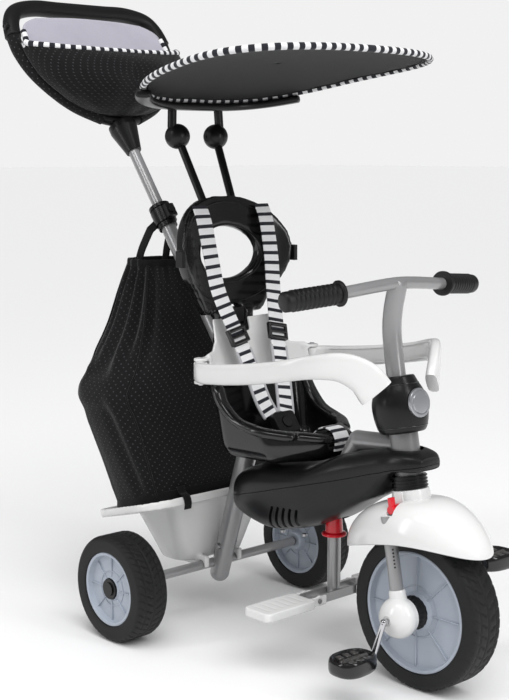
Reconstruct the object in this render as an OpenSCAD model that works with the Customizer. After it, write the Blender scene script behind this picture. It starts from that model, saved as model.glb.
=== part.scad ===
// Children's tricycle with a push handle, canopy, harness, safety ring and rear storage bag.
// Design axes: X forward from the rear axle, Y to the rider's left, Z up from the floor.
// Each part is then moved along X so that the origin is under the middle of the whole tricycle.

/* [Wheels] */
// Distance from the rear axle to the front axle
wheelbase = 466; // [450:1:480]
// Radius of a rear tyre
rear_wheel_r = 87; // [84:1:90]
// Width of a rear tyre
rear_tyre_w = 59; // [50:1:60]
// Radius of a rear rim
rear_rim_r = 60; // [56:1:64]
// Radius of the front tyre
front_wheel_r = 117; // [114:1:118]
// Width of the front tyre
front_tyre_w = 62; // [50:1:64]
// Radius of the front rim
front_rim_r = 91; // [86:1:94]
// Overall width over the rear tyres
overall_w = 480; // [470:1:490]

/* [Steering] */
// Backward lean of the steering axis in degrees
steer_lean = 10.8; // [9:0.1:12]
// Length of the crank arms
crank_r = 55; // [50:1:58]
// Angle of the right crank from straight down, towards the rear
crank_angle = 17; // [0:1:30]

/* [Seat] */
// Half width of the seat bucket's rear corner centres
seat_corner_y = 80; // [76:1:82]
// Half width of the headrest
headrest_half_w = 120; // [110:1:124]
// Wall thickness of the moulded shells
shell_wall = 4; // [3:0.5:4]

/* [Push handle] */
// Backward slope of the push pole, mm of X for each mm of Z
pole_slope = 0.732; // [0.72:0.001:0.74]
// Half width of the handle loop
loop_half_w = 166; // [150:1:170]

/* [Canopy] */
// Half length of the canopy
canopy_half_l = 197; // [180:1:200]
// Half width of the canopy
canopy_half_w = 210; // [190:1:220]

/* [Hidden] */
$fn = 48;

tube_wall = 1.6;
run_gap = 0.06;      // radial running clearance of a shaft in its hole
free_gap = 0.5;      // clearance between parts that move past each other

// frame and wheels
axle_z = rear_wheel_r;
front_axle = [wheelbase, 0, front_wheel_r];
axle_r = 4;
axle_tube_r = 8;
rear_wheel_y = (overall_w - rear_tyre_w) / 2;
frame_r = 16.5;
top_tube_r = 15;
frame_foot = [2, 0, 68];
frame_low_bend = [75, 0, 296];
pole_base = [93, 0, 351];    // where the push pole's axis starts, behind the seat
top_tube_rear = [64, 0, 250];
top_tube_bend = [285, 0, 280];
top_tube_knee = [326, 0, 350];
top_tube_front = [421, 0, 356];

// push pole and its handle
pole_dir = unit([-pole_slope, 0, 1]);
socket_from = 61;
socket_to = 106;
lower_pole_r = 13;
lower_pole_bore = 11.4;
upper_pole_r = 10;
clamp_from = 378;    // distances along the pole from its base point
clamp_to = 422;
lower_pole_end = 410;
clamp_button_s = 400;
upper_pole_from = 235;
cone_from = 540;
cone_to = 598;
loop_slope = 0.6;
loop_foot_z = 838;
loop_foot_x = -262;
loop_r = 10;
grip_r = 14.5;
bar_z = 1040;

// steering, measured along the steering axis from the front axle
steerer_r = 12.5;
stem_r = 14.5;
head_tube_r = 21.5;
fender_neck_top = 179;
collar_from = 180;
collar_to = 200;
head_to = 262;
cover_from = 263;
cover_to = 347;
leg_y = 57;
leg_r = 10;
crown_s = 140;
crank_rod_r = 4.5;
crank_y = 93;
pedal_in = 101;
pedal_out = 168;
pedal_mid = (pedal_in + pedal_out) / 2;

// footrest
post_x = 276;
post_r = 10.5;
plate_pivot = [post_x, 50, 97];
plate_pin_r = 3;

// seat
arm_pivot = [100, 124, 444];
arm_pin_r = 4;
arm_barrel_r = 11;

// canopy
canopy_pivot = [-53, 42, 812];
canopy_pin_r = 3;
canopy_mid_x = 143.5;
knuckle_r = 21;
pole_foot = [-4, 33, 714];
canopy_pole_r = 6.75;

// the whole tricycle runs from the back of the handle grip to the front of the front tyre
rear_end_x = loop_x(bar_z) - grip_r;
front_end_x = wheelbase + front_wheel_r;
shift_x = -(rear_end_x + front_end_x) / 2;

// ---- small geometry helpers ----
function unit(v) = v / norm(v);
function loop_x(z) = loop_foot_x - loop_slope * (z - loop_foot_z);
function along_pole(s) = pole_base + s * pole_dir;
function flip_y(p) = [p[0], -p[1], p[2]];
function spow(v, e) = sign(v) * pow(abs(v), e);
function path_tangent(path, i) = unit(path[min(i + 1, len(path) - 1)] - path[max(i - 1, 0)]);
function circle_points(r, n) = [for (i = [0:n - 1]) r * [cos(360 * i / n), sin(360 * i / n)]];
function round_rect(w, h, e, n) = [for (i = [0:n - 1]) let (a = 360 * (i + 0.5) / n)
    [w * spow(cos(a), 2 / e), h * spow(sin(a), 2 / e)]];
// a smooth curve through the control points p, m steps to each span
function catmull(a, b, c, d, t) = 0.5 * ((2 * b) + (c - a) * t + (2 * a - 5 * b + 4 * c - d) * t * t
    + (3 * b - a - 3 * c + d) * t * t * t);
function smooth(p, m) = [for (i = [0:len(p) - 2], j = [0:m - 1])
    catmull(p[max(i - 1, 0)], p[i], p[i + 1], p[min(i + 2, len(p) - 1)], j / m), p[len(p) - 1]];
function ring_at(path, i, section, up) = let (t = path_tangent(path, i), s = unit(cross(t, up)), u = cross(s, t))
    [for (q = section) path[i] + q[0] * s + q[1] * u];

module placed() {
    translate([shift_x, 0, 0]) children();
}

module steered() {
    placed() translate(front_axle) rotate([0, -steer_lean, 0]) children();
}

module both_sides() {
    children();
    mirror([0, 1, 0]) children();
}

// a solid skin through rings of equal point counts
module loft(rings) {
    n = len(rings[0]);
    m = len(rings);
    polyhedron(
        points = [for (r = rings) each r],
        faces = concat(
            [[for (j = [n - 1:-1:0]) j]],
            [for (i = [0:m - 2], j = [0:n - 1]) each [
                [i * n + j, (i + 1) * n + (j + 1) % n, (i + 1) * n + j],
                [i * n + j, i * n + (j + 1) % n, (i + 1) * n + (j + 1) % n]]],
            [[for (j = [0:n - 1]) (m - 1) * n + j]]),
        convexity = 6);
}

module sweep(path, section, up = [0, 0, 1]) {
    loft([for (i = [0:len(path) - 1]) ring_at(path, i, section, up)]);
}

// a straight round bar from a to b
module bar(a, b, r) {
    d = b - a;
    translate(a) rotate([0, acos(d[2] / norm(d)), atan2(d[1], d[0])]) cylinder(r = r, h = norm(d));
}

module y_bar(x, y0, y1, z, r) {
    translate([x, y0, z]) rotate([-90, 0, 0]) cylinder(r = r, h = y1 - y0);
}

module on_pole(s) {
    translate(along_pole(s)) rotate([0, -atan(pole_slope), 0]) children();
}

// ---- frame ----
module rear_frame_tube() placed() color([0.50, 0.51, 0.53]) difference() {
    union() {
        bar(frame_foot, frame_low_bend, frame_r);
        translate(frame_foot) sphere(r = frame_r + 0.3);
        translate(frame_low_bend) sphere(r = frame_r + 0.3);
        bar(frame_low_bend, along_pole(socket_from), frame_r);
        translate(along_pole(socket_from)) sphere(r = frame_r + 0.3);
        bar(along_pole(socket_from), along_pole(socket_to), frame_r);
    }
    on_pole(socket_from) cylinder(r = lower_pole_r, h = socket_to);
    y_bar(0, -40, 40, axle_z, axle_tube_r);
}

module top_frame_tube() placed() color([0.50, 0.51, 0.53]) difference() {
    union() {
        bar(top_tube_rear, top_tube_bend, top_tube_r);
        translate(top_tube_bend) sphere(r = top_tube_r + 0.3);
        bar(top_tube_bend, top_tube_knee, top_tube_r);
        translate(top_tube_knee) sphere(r = top_tube_r + 0.3);
        bar(top_tube_knee, top_tube_front, top_tube_r);
    }
    bar(frame_foot, frame_low_bend, frame_r);
    translate([post_x, 0, 0]) cylinder(r = post_r, h = axle_z + 190);
    translate(front_axle) rotate([0, -steer_lean, 0]) cylinder(r = head_tube_r, h = 300);
}

module head_tube() steered() color([0.52, 0.53, 0.55]) difference() {
    translate([0, 0, collar_to]) cylinder(r = head_tube_r, h = head_to - collar_to);
    translate([0, 0, collar_to - 1]) cylinder(r = steerer_r + run_gap, h = head_to);
}

module collar_ring() steered() color([0.07, 0.07, 0.08]) difference() {
    union() {
        translate([0, 0, collar_from]) cylinder(r = 25.5, h = collar_to - collar_from);
        for (i = [0:3]) translate([0, 0, collar_from + 1.5 + 5 * i]) cylinder(r = 27, h = 2);
    }
    translate([0, 0, collar_from - 1]) cylinder(r = steerer_r + run_gap, h = 30);
}

module rear_axle_tube() placed() color([0.55, 0.56, 0.58]) difference() {
    y_bar(0, -176, 176, axle_z, axle_tube_r);
    y_bar(0, -177, 177, axle_z, axle_r);
}

module rear_axle() placed() color([0.60, 0.60, 0.62]) y_bar(0, -235, 235, axle_z, axle_r);

module axle_caps() placed() color([0.12, 0.12, 0.13]) both_sides() difference() {
    union() {
        y_bar(0, 231, 236, axle_z, 16.5);
        y_bar(0, 236, 238.5, axle_z, 11);
    }
    y_bar(0, 230, 235, axle_z, axle_r);
}

// ---- wheels, drawn about the Y axis through the origin ----
module tyre(r, rim_r, w) {
    shoulder = 9;
    groove = 1.6;
    rotate([-90, 0, 0]) difference() {
        rotate_extrude($fn = 96) polygon(concat(
            [[rim_r, -w / 2 + 3], [rim_r, w / 2 - 3]],
            [for (a = [90:-15:0]) [r - shoulder + shoulder * cos(a), w / 2 - shoulder + shoulder * sin(a)]],
            [for (a = [0:-15:-90]) [r - shoulder + shoulder * cos(a), -w / 2 + shoulder + shoulder * sin(a)]]));
        rotate_extrude($fn = 96) translate([rim_r - 1, -w / 2 + 15]) square([r - rim_r - 8, w - 30]);
        for (k = [-1, 0, 1]) translate([0, 0, k * w / 5 - 1]) difference() {
            cylinder(r = r + 1, h = 2, $fn = 96);
            translate([0, 0, -1]) cylinder(r = r - groove, h = 4, $fn = 96);
        }
    }
}

// side = 1 for a wheel whose outer face looks along +Y
module rim(r, w, hub_r, hub_in, hub_out, bore) {
    dish = 9;
    lip = 7;
    rotate([-90, 0, 0]) difference() {
        union() {
            difference() {
                translate([0, 0, -w / 2 + 3]) cylinder(r = r, h = w - 6, $fn = 96);
                translate([0, 0, w / 2 - 3 - dish]) cylinder(r = r - lip, h = dish + 1, $fn = 96);
                translate([0, 0, -w / 2 + 2]) cylinder(r = r - lip, h = dish + 1, $fn = 96);
            }
            translate([0, 0, -hub_in]) cylinder(r = hub_r, h = hub_in + hub_out);
            for (i = [0:7]) rotate([0, 0, 45 * i]) translate([hub_r - 2, -0.8, w / 2 - 3 - dish - 1])
                cube([r - lip - hub_r + 4, 1.6, 3]);
        }
        translate([0, 0, -hub_in - 1]) cylinder(r = bore, h = hub_in + hub_out + 2);
        rotate_extrude($fn = 96) translate([hub_r + 5, -w / 2 + 15]) square([r, w - 30]);
    }
}

module rear_tyre_at_left() translate([0, rear_wheel_y, axle_z]) tyre(rear_wheel_r, rear_rim_r, rear_tyre_w);
module rear_rim_at_left() translate([0, rear_wheel_y, axle_z])
    rim(rear_rim_r, rear_tyre_w, 17, 33, 20, axle_r + run_gap);

module left_rear_tyre() placed() color([0.16, 0.16, 0.17]) rear_tyre_at_left();
module right_rear_tyre() placed() color([0.16, 0.16, 0.17]) mirror([0, 1, 0]) rear_tyre_at_left();
module left_rear_rim() placed() color([0.68, 0.71, 0.75]) rear_rim_at_left();
module right_rear_rim() placed() color([0.68, 0.71, 0.75]) mirror([0, 1, 0]) rear_rim_at_left();

module front_tyre() placed() color([0.16, 0.16, 0.17]) translate(front_axle)
    tyre(front_wheel_r, front_rim_r, front_tyre_w);

module front_rim() placed() color([0.68, 0.71, 0.75]) translate(front_axle) {
    rim(front_rim_r, front_tyre_w, 27, 44, 44, crank_rod_r + run_gap);
}

// ---- crank and pedals ----
right_crank_end = front_axle + crank_r * [-sin(crank_angle), 0, -cos(crank_angle)];
left_crank_end = front_axle + crank_r * [sin(crank_angle), 0, cos(crank_angle)];

module crank_half(end, side) {
    corner = crank_rod_r + 0.4;
    y_bar(front_axle[0], min(0, side * crank_y), max(0, side * crank_y), front_axle[2], crank_rod_r);
    translate(front_axle + [0, side * crank_y, 0]) sphere(r = corner);
    bar(front_axle + [0, side * crank_y, 0], end + [0, side * (crank_y + 3), 0], crank_rod_r);
    translate(end + [0, side * (crank_y + 3), 0]) sphere(r = corner);
    y_bar(end[0], min(side * 96, side * (pedal_out - 4)), max(side * 96, side * (pedal_out - 4)), end[2],
        crank_rod_r);
}

module crankset() placed() color([0.80, 0.80, 0.82]) {
    crank_half(right_crank_end, -1);
    crank_half(left_crank_end, 1);
}

module pedal(end, side) {
    translate([end[0], side * pedal_mid, end[2]]) difference() {
        hull() for (x = [-1, 1], y = [-1, 1]) {
            translate([x * 20, y * (pedal_mid - pedal_in - 8), 4]) cylinder(r = 7, h = 11, center = true, $fn = 32);
            translate([x * 17, y * (pedal_mid - pedal_in - 8), -6]) cylinder(r = 8, h = 14, center = true, $fn = 32);
        }
        y_bar(0, -40, 40, 0, crank_rod_r + run_gap);
        for (y = [-18, -6, 6, 18]) translate([0, y, 10.5]) cube([38, 3, 3], center = true);
    }
}

module right_pedal() placed() color([0.06, 0.06, 0.07]) pedal(right_crank_end, -1);
module left_pedal() placed() color([0.06, 0.06, 0.07]) pedal(left_crank_end, 1);

// ---- fork, fender and hub covers ----
module fork() steered() color([0.52, 0.53, 0.55]) difference() {
    union() {
        both_sides() translate([0, leg_y, 18]) cylinder(r = leg_r, h = crown_s - 10);
        translate([0, -leg_y, crown_s]) rotate([-90, 0, 0]) cylinder(r = leg_r - 0.4, h = 2 * leg_y);
    }
    translate([0, 0, crown_s]) cylinder(r = steerer_r + 0.1, h = 30);
    both_sides() translate([0, leg_y, 17]) cylinder(r = leg_r - tube_wall, h = crown_s - 25);
}

fender_half_l = 128;
fender_half_w = 72;
fender_rise = 56;
function fender_ring(t, n) = let (g = sin(90 * t), a = 29 + (fender_half_l - 29) * g,
    b = 29 + (fender_half_w - 29) * pow(g, 0.8), s = 150 - fender_rise * (1 - cos(90 * t)))
    [for (i = [0:n - 1]) let (c = cos(-360 * i / n))
        [a * c, b * sin(-360 * i / n), s + 15 - g * g * (c > 0 ? 32 * c * c : 14 * c * c)]];

function fender_circle(r, z) = [for (i = [0:27]) [r * cos(-360 * i / 28), r * sin(-360 * i / 28), z]];

lock_slot = [-1, -64, 148];    // low corner of the steering lock's slot, measured from the front axle

module fender_dome() difference() {
    loft(concat([fender_circle(2, 96)], [for (t = [1:-0.125:0]) fender_ring(t, 28)],
        [fender_circle(29, fender_neck_top)]));
    rotate([90, 0, 0]) cylinder(r = front_wheel_r + 9, h = 88, center = true);
}

module front_fender() steered() color([0.95, 0.95, 0.95]) difference() {
    difference() {
        fender_dome();
        both_sides() translate([0, leg_y, 18]) cylinder(r = leg_r + 0.4, h = crown_s - 6);
    }
    translate([0, -leg_y, crown_s]) rotate([-90, 0, 0]) cylinder(r = leg_r + 0.6, h = 2 * leg_y);
    translate([0, 0, crown_s]) cylinder(r = steerer_r + 0.4, h = 60);
    translate(lock_slot) cube([14, 34, 40]);
}

module hub_covers() steered() color([0.94, 0.94, 0.93]) both_sides() difference() {
    rotate([-90, 0, 0]) rotate_extrude() polygon(concat(
        [[0, 47], [27, 47]],
        [for (a = [0:15:75]) [30.5 * cos(a), 62 + 24 * sin(a)]], [[0, 86]]));
    translate([0, leg_y, 18]) cylinder(r = leg_r, h = 40);
    y_bar(0, 40, 100, 0, crank_rod_r + 1.5);
}

module steering_lock_lever() steered() color([0.83, 0.07, 0.12]) {
    translate(lock_slot + [3, 15, 6]) cube([8, 18, 9]);
    translate(lock_slot + [4.5, 8, 9]) cube([5, 10, 17]);
    translate(lock_slot + [7, 8, 8]) rotate([-90, 0, 0]) cylinder(r = 6, h = 6);
}

// ---- handlebar ----
bar_mid = [402, 0, 596];
bar_knee = [393, 109, 588];
bar_end = [373, 207, 580];
stem_joint = [391, 0, 541];

stem_base = front_axle + (cover_to + 3) * [-sin(steer_lean), 0, cos(steer_lean)];

module handlebar_shape(less) {
    translate(front_axle) rotate([0, -steer_lean, 0]) {
        translate([0, 0, 147 - less]) cylinder(r = steerer_r - less, h = 150 + less);
        translate([0, 0, 296 + 2 * less]) cylinder(r = stem_r - less, h = cover_to + 3 - 296 - 2 * less);
    }
    translate(stem_base) sphere(r = stem_r + 0.3 - less);
    bar(stem_base, stem_joint, stem_r - less);
    translate(stem_joint) sphere(r = stem_r + 0.3 - less);
    bar(stem_joint, bar_mid, stem_r - less);
    translate(bar_mid) sphere(r = stem_r + 0.3 - less);
    both_sides() {
        bar(bar_mid, bar_knee, 9 - less);
        translate(bar_knee) sphere(r = 9.3 - less);
        bar(bar_knee, bar_knee + (0.93 + 0.02 * less) * (bar_end - bar_knee), 9 - less);
    }
}

module handlebar() placed() color([0.55, 0.56, 0.58]) difference() {
    handlebar_shape(0);
    handlebar_shape(tube_wall);
}

module handlebar_grips() placed() color([0.06, 0.06, 0.07]) both_sides() difference() {
    grip_dir = unit(bar_end - bar_knee);
    union() {
        bar(bar_knee + 4 * grip_dir, bar_end - 6 * grip_dir, 15);
        bar(bar_end - 6 * grip_dir, bar_end, 12.5);
        bar(bar_knee + 2 * grip_dir, bar_knee + 8 * grip_dir, 19);
        for (i = [1:6]) bar(bar_knee + 14 * i * grip_dir, bar_knee + (14 * i + 4) * grip_dir, 15.8);
    }
    bar(bar_knee - 4 * grip_dir, bar_knee + 0.93 * (bar_end - bar_knee), 9);
    translate(bar_knee) sphere(r = 9.8);
}

module steering_cover() steered() color([0.08, 0.08, 0.09]) difference() {
    rotate_extrude() polygon([[0, cover_from], [24, cover_from], [29, cover_from + 7], [36, cover_from + 18],
        [40, cover_from + 30], [41, cover_from + 42], [39, cover_from + 54], [34, cover_from + 66],
        [27, cover_from + 77], [21.5, cover_to], [0, cover_to]]);
    translate([0, 0, cover_from - 1]) cylinder(r = steerer_r + 0.1, h = 100);
    translate([0, 0, 296]) cylinder(r = stem_r + 0.1, h = 100);
    translate([36, 0, cover_from + 42]) rotate([0, 90, 0]) cylinder(r = 22.5, h = 20);
}

module steering_badge() steered() color([0.72, 0.73, 0.75]) translate([36, 0, cover_from + 42])
    rotate([0, 90, 0]) {
        cylinder(r = 22, h = 5);
        translate([0, 0, 5]) cylinder(r = 17, h = 1.5);
    }

// ---- body covers ----
// each row: x, half width, top, parting line, bottom
body_rows = [
    [96, 40, 262, 234, 226], [104, 58, 270, 235, 214], [120, 70, 279, 238, 203], [150, 78, 290, 246, 194],
    [190, 81, 299, 257, 188], [235, 79, 301, 270, 197], [265, 76, 305, 278, 207], [290, 71, 317, 285, 218],
    [320, 64, 332, 293, 236], [355, 55, 342, 303, 259], [390, 48, 350, 314, 279], [408, 45, 353, 319, 300],
    [430, 43, 355, 326, 321], [455, 35, 352, 331, 323], [470, 21, 346, 334, 327]];

function body_half(row, upper, wall, n) = let (w = row[1] - wall, top = upper ? row[2] - wall : row[4] + wall)
    [for (i = [0:n]) let (a = 180 * i / n)
        [row[0], w * spow(cos(a), 0.62), row[3] + (upper ? 0.25 : -0.25) + (top - row[3]) * spow(sin(a), 0.62)]];

module body_half_solid(upper, wall) {
    rows = wall == 0 ? body_rows : [for (i = [1:len(body_rows) - 2]) body_rows[i]];
    rings = [for (r = rows) body_half(r, upper, wall, 20)];
    loft(upper ? [for (r = rings) [for (i = [len(r) - 1:-1:0]) r[i]]] : rings);
}

module body_openings() {
    bar(top_tube_rear - [40, 0, 5.4], top_tube_bend, top_tube_r + 0.5);
    bar(top_tube_bend, top_tube_knee, top_tube_r + 1);
    translate(top_tube_bend) sphere(r = top_tube_r + 1);
    translate(top_tube_knee) sphere(r = top_tube_r + 1);
    bar(top_tube_knee, top_tube_front, top_tube_r + 0.5);
    translate([post_x, 0, 80]) cylinder(r = post_r + 8, h = 200);
    translate(front_axle) rotate([0, -steer_lean, 0]) cylinder(r = head_tube_r + 0.5, h = 300);
    translate(front_axle) rotate([0, -steer_lean, 0]) translate([0, 0, 150]) cylinder(r = 27.6, h = collar_to - 149.5);
}

module upper_body_cover() placed() color([0.08, 0.08, 0.09]) difference() {
    body_half_solid(true, 0);
    translate([0, 0, -1]) body_half_solid(true, shell_wall);
    body_openings();
}

module lower_body_cover() placed() color([0.07, 0.07, 0.08]) difference() {
    body_half_solid(false, 0);
    translate([0, 0, 1]) body_half_solid(false, shell_wall);
    body_openings();
    for (i = [0:4], y = [-74, 74]) translate([172 + 16 * i, y, 214 + 3 * i]) rotate([0, -8, 0])
        cube([5, 40, 30], center = true);
}

module frame_screws() placed() color([0.35, 0.35, 0.37]) {
    both_sides() for (p = [[190, 182], [240, 186]]) translate([p[0], 30, p[1]]) cylinder(r = 4, h = 4);
    both_sides() y_bar(19, frame_r + 0.3, frame_r + 5, 120, 5);
}

// ---- rear storage ----
// the tray's rim slopes up towards the front, and its sizes are measured along the slope
tray_middle = [-63, 0, 192];
tray_tilt = 15;
tray_half_l = 90;
tray_half_w = 165;
tray_lip = 5;

module tray_outline(x0, x1, hw, r, z, h) {
    hull() for (x = [x0 + r, x1 - r], y = [-hw + r, hw - r]) translate([x, y, z]) cylinder(r = r, h = h, $fn = 32);
}

module on_rim() translate(tray_middle) rotate([0, -tray_tilt, 0]) children();

module tray_tub(grow) {
    hull() {
        on_rim() tray_outline(-48 - grow, 78 + grow, 108 + grow, 34, -10, 4);
        tray_outline(-82 - grow, -10 + grow, 72 + grow, 26, 95 - grow, 2);
    }
}

module storage_tray() placed() color([0.94, 0.94, 0.94]) {
    difference() {
        union() {
            on_rim() tray_outline(-tray_half_l, tray_half_l, tray_half_w, 50, -8, 14);
            tray_tub(0);
            for (y = [-37, 37]) translate([-56, y - 5, 84]) cube([70, 10, 20]);
        }
        tray_tub(-shell_wall);
        on_rim() tray_outline(-44, 74, 104, 34, -9, 20);
        on_rim() tray_outline(tray_lip - tray_half_l, tray_half_l - tray_lip, tray_half_w - tray_lip, 46, -2, 10);
        y_bar(0, -60, 60, axle_z, axle_tube_r + 0.1);
        translate([-axle_tube_r - 0.1, -60, 70]) cube([2 * axle_tube_r + 0.2, 120, axle_z - 70]);
    }
}

// each row: height at its middle, back x, front x, half width, forward slope
bag_rows = [[196, -138, 12, 148, 0.268], [243, -152, 10, 160, 0.15], [300, -172, 0, 172, 0.05],
    [350, -188, -8, 184, 0], [385, -200, -14, 192, 0], [430, -204, -20, 168, 0], [490, -208, -52, 120, 0],
    [545, -210, -86, 84, 0], [594, -208, -120, 54, 0]];
bag_wall = 6;

module bag_solid(wall, top) {
    loft([for (i = [0:len(bag_rows) - 1]) let (r = bag_rows[i], w = r[3] - wall, l = (r[2] - r[1]) / 2 - wall,
            m = (r[2] + r[1]) / 2, z = r[0] + (i == 0 ? wall : 0) + (i == len(bag_rows) - 1 ? top : 0))
        [for (q = round_rect(l, w, 3.2, 28)) [m + q[0], -q[1], z + r[4] * q[0]]]]);
}

module storage_bag() placed() color([0.09, 0.09, 0.10]) difference() {
    bag_solid(0, 0);
    bag_solid(bag_wall, 3);
}

module bag_straps() placed() color([0.07, 0.07, 0.08])
    for (s = [-1, 1]) sweep(smooth([[-176, s * 30, 598], [-170, s * 28, 618], [-161, s * 25, 637],
        [-154, s * 22, 652]], 3), round_rect(1.5, 9, 3, 8), [0, 1, 0]);

// ---- seat ----
module seat_hull(r_less, lift) {
    hull() for (p = [[135, 72, 333, 30], [205, 62, 333, 30], [255, 14, 336, 28], [112, seat_corner_y, 440, 26]])
        both_sides() translate([p[0] + lift * 0.3, p[1], p[2] + lift]) sphere(r = p[3] - r_less, $fn = 32);
}

module seat_bucket() placed() color([0.08, 0.08, 0.09]) difference() {
    seat_hull(0, 0);
    seat_hull(7, 3);
    seat_rim_cut(0);
}

// everything above the bucket's rim, which drops steeply behind and runs level to the nose
seat_rim_line = [[40, 438], [60, 430], [86, 421], [108, 412], [118, 396], [130, 382], [150, 369], [190, 358],
    [240, 351], [330, 346]];
module seat_rim_cut(lift) {
    translate([0, 200, lift]) rotate([90, 0, 0]) linear_extrude(height = 400)
        polygon(concat(seat_rim_line, [[330, 620], [40, 620]]));
}

// part of an upright tube shell that opens forward
module curved_panel(back_x, r, wall) {
    translate([back_x + r, 0, 0]) difference() {
        cylinder(r = r, h = 900, $fn = 96);
        translate([0, 0, -1]) cylinder(r = r - wall, h = 902, $fn = 96);
    }
}

back_lean = atan(0.3);
back_top = [49, 0, 514];

module seat_back_shell() placed() color([0.95, 0.95, 0.95]) difference() {
    union() {
        translate(back_top) rotate([0, -back_lean, 0]) difference() {
            intersection() {
                translate([0, 0, -514]) curved_panel(0, 200, 5);
                translate([-10, 0, 0]) rotate([90, 0, 90]) linear_extrude(height = 130) polygon([[-66, 0],
                    [66, 0], [72, -36], [86, -52], [110, -58], [110, -92], [98, -108], [84, -116],
                    [-84, -116], [-98, -108], [-110, -92], [-110, -58], [-86, -52], [-72, -36]]);
            }
            translate([0, 0, -6]) cube([60, 36, 34], center = true);
        }
        both_sides() for (z = [423, 458.6]) hull() {
            translate([arm_pivot[0], arm_pivot[1], z]) cylinder(r = 11, h = 6, $fn = 32);
            translate([z == 423 ? 107 : 98, 105, z]) cylinder(r = 5, h = 6, $fn = 32);
        }
    }
    both_sides() translate([arm_pivot[0], arm_pivot[1], 400]) cylinder(r = arm_pin_r, h = 90);
    difference() {
        seat_hull(-0.5, 0);
        seat_rim_cut(0.5);
    }
}

module arm_pivot_pins() placed() color([0.75, 0.75, 0.77]) both_sides()
    translate([arm_pivot[0], arm_pivot[1], 421]) cylinder(r = arm_pin_r, h = 45);

headrest_z = 622;
headrest_lean = 6;
module headrest_outline() {
    difference() {
        union() {
            scale([headrest_half_w / 94, 1]) circle(r = 94, $fn = 96);
            polygon([[-100, -45], [-62, -104], [62, -104], [100, -45], [60, 20], [-60, 20]]);
        }
        translate([0, -2]) scale([64 / 43, 1]) circle(r = 43, $fn = 64);
    }
}

module headrest() placed() color([0.07, 0.07, 0.08]) difference() {
    union() {
        headrest_panel();
        translate([28, -40, 470]) cube([20, 80, 58]);
    }
    translate([-8, -45, 680]) cube([18, 90, 80]);
    both_sides() bar(pole_foot + 3 * (pole_foot - canopy_pivot) / 10, canopy_pivot, canopy_pole_r + 0.3);
    translate([0, -20, 504]) cube([80, 40, 30]);
}

module headrest_panel() translate([4, 0, headrest_z]) rotate([0, -headrest_lean, 0])
    translate([-4, 0, -headrest_z]) intersection() {
        curved_panel(4, 250, 20);
        translate([0, 0, headrest_z]) rotate([90, 0, 90]) linear_extrude(height = 120) headrest_outline();
    }

module headrest_latch() placed() color([0.10, 0.10, 0.11]) translate([38, 0, 519]) cube([18, 34, 24], center = true);

module belt_anchors() placed() color([0.05, 0.05, 0.06]) both_sides() translate([52, 124, 617])
    cube([16, 7, 26], center = true);

// ---- harness ----
strap_line = smooth([[33, 68, 700], [46, 68, 672], [60, 66, 615], [72, 60, 560], [98, 44, 492], [120, 33, 437],
    [136, 25, 392], [148, 17, 366]], 3);

module shoulder_straps() placed() color([0.85, 0.85, 0.87]) both_sides()
    sweep(strap_line, round_rect(16, 1.6, 4, 12), [1, 0, 0.4]);

adjuster_at = strap_line[12];
adjuster_dir = unit(strap_line[13] - strap_line[11]);

module strap_adjusters() placed() color([0.10, 0.10, 0.11]) both_sides() difference() {
    sweep([adjuster_at - 15 * adjuster_dir, adjuster_at + 15 * adjuster_dir], round_rect(20, 5, 6, 12), [1, 0, 0.4]);
    sweep([adjuster_at - 20 * adjuster_dir, adjuster_at + 20 * adjuster_dir], round_rect(17, 2.6, 6, 12), [1, 0, 0.4]);
}

module buckle() placed() color([0.06, 0.06, 0.07]) translate([163, 0, 352]) rotate([0, -35, 0]) difference() {
    hull() for (y = [-1, 1], z = [-1, 1]) translate([0, y * 16, z * 12])
        rotate([0, 90, 0]) cylinder(r = 7, h = 14, center = true, $fn = 32);
    translate([6, 0, 0]) rotate([0, 90, 0]) cylinder(r = 9.5, h = 20, center = true);
}

module buckle_button() placed() color([0.16, 0.16, 0.17]) translate([163, 0, 352]) rotate([0, -35, 0])
    translate([-0.5, 0, 0]) rotate([0, 90, 0]) cylinder(r = 9, h = 9);

module crotch_strap() placed() color([0.85, 0.85, 0.87])
    sweep(smooth([[180, 0, 335], [205, 0, 329], [235, 0, 343], [258, 0, 360], [280, 0, 360], [291, 0, 347],
        [289, 0, 328]], 3), round_rect(16, 1.6, 4, 12), [0, 0.001, 1]);

// ---- safety ring arms ----
arm_line = smooth([[100, 124, 444], [118, 141, 445], [150, 149, 447], [220, 153, 455], [300, 149, 468],
    [355, 132, 480], [388, 104, 482], [408, 78, 468], [418, 62, 446]], 3);

module arm_at_left() {
    difference() {
        union() {
            sweep(arm_line, round_rect(9, 16, 3.2, 14));
            translate([arm_pivot[0], arm_pivot[1], 429.4]) cylinder(r = arm_barrel_r, h = 28.8);
        }
        translate([arm_pivot[0], arm_pivot[1], 400]) cylinder(r = arm_pin_r + run_gap, h = 90);
        translate([arm_pivot[0] - 16, arm_pivot[1] - 14, 458.2]) cube([30, 28, 20]);
        translate([arm_pivot[0] - 16, arm_pivot[1] - 14, 409.4]) cube([30, 28, 20]);
    }
}

module left_arm() placed() color([0.95, 0.95, 0.95]) arm_at_left();
module right_arm() placed() color([0.95, 0.95, 0.95]) mirror([0, 1, 0]) arm_at_left();

// ---- footrest ----
module footrest_post() placed() color([0.52, 0.53, 0.55]) translate([post_x, 0, 90])
    difference() {
        cylinder(r = post_r, h = axle_z + 190 - 90);
        translate([0, 0, -1]) cylinder(r = post_r - tube_wall, h = 200);
    }

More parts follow.
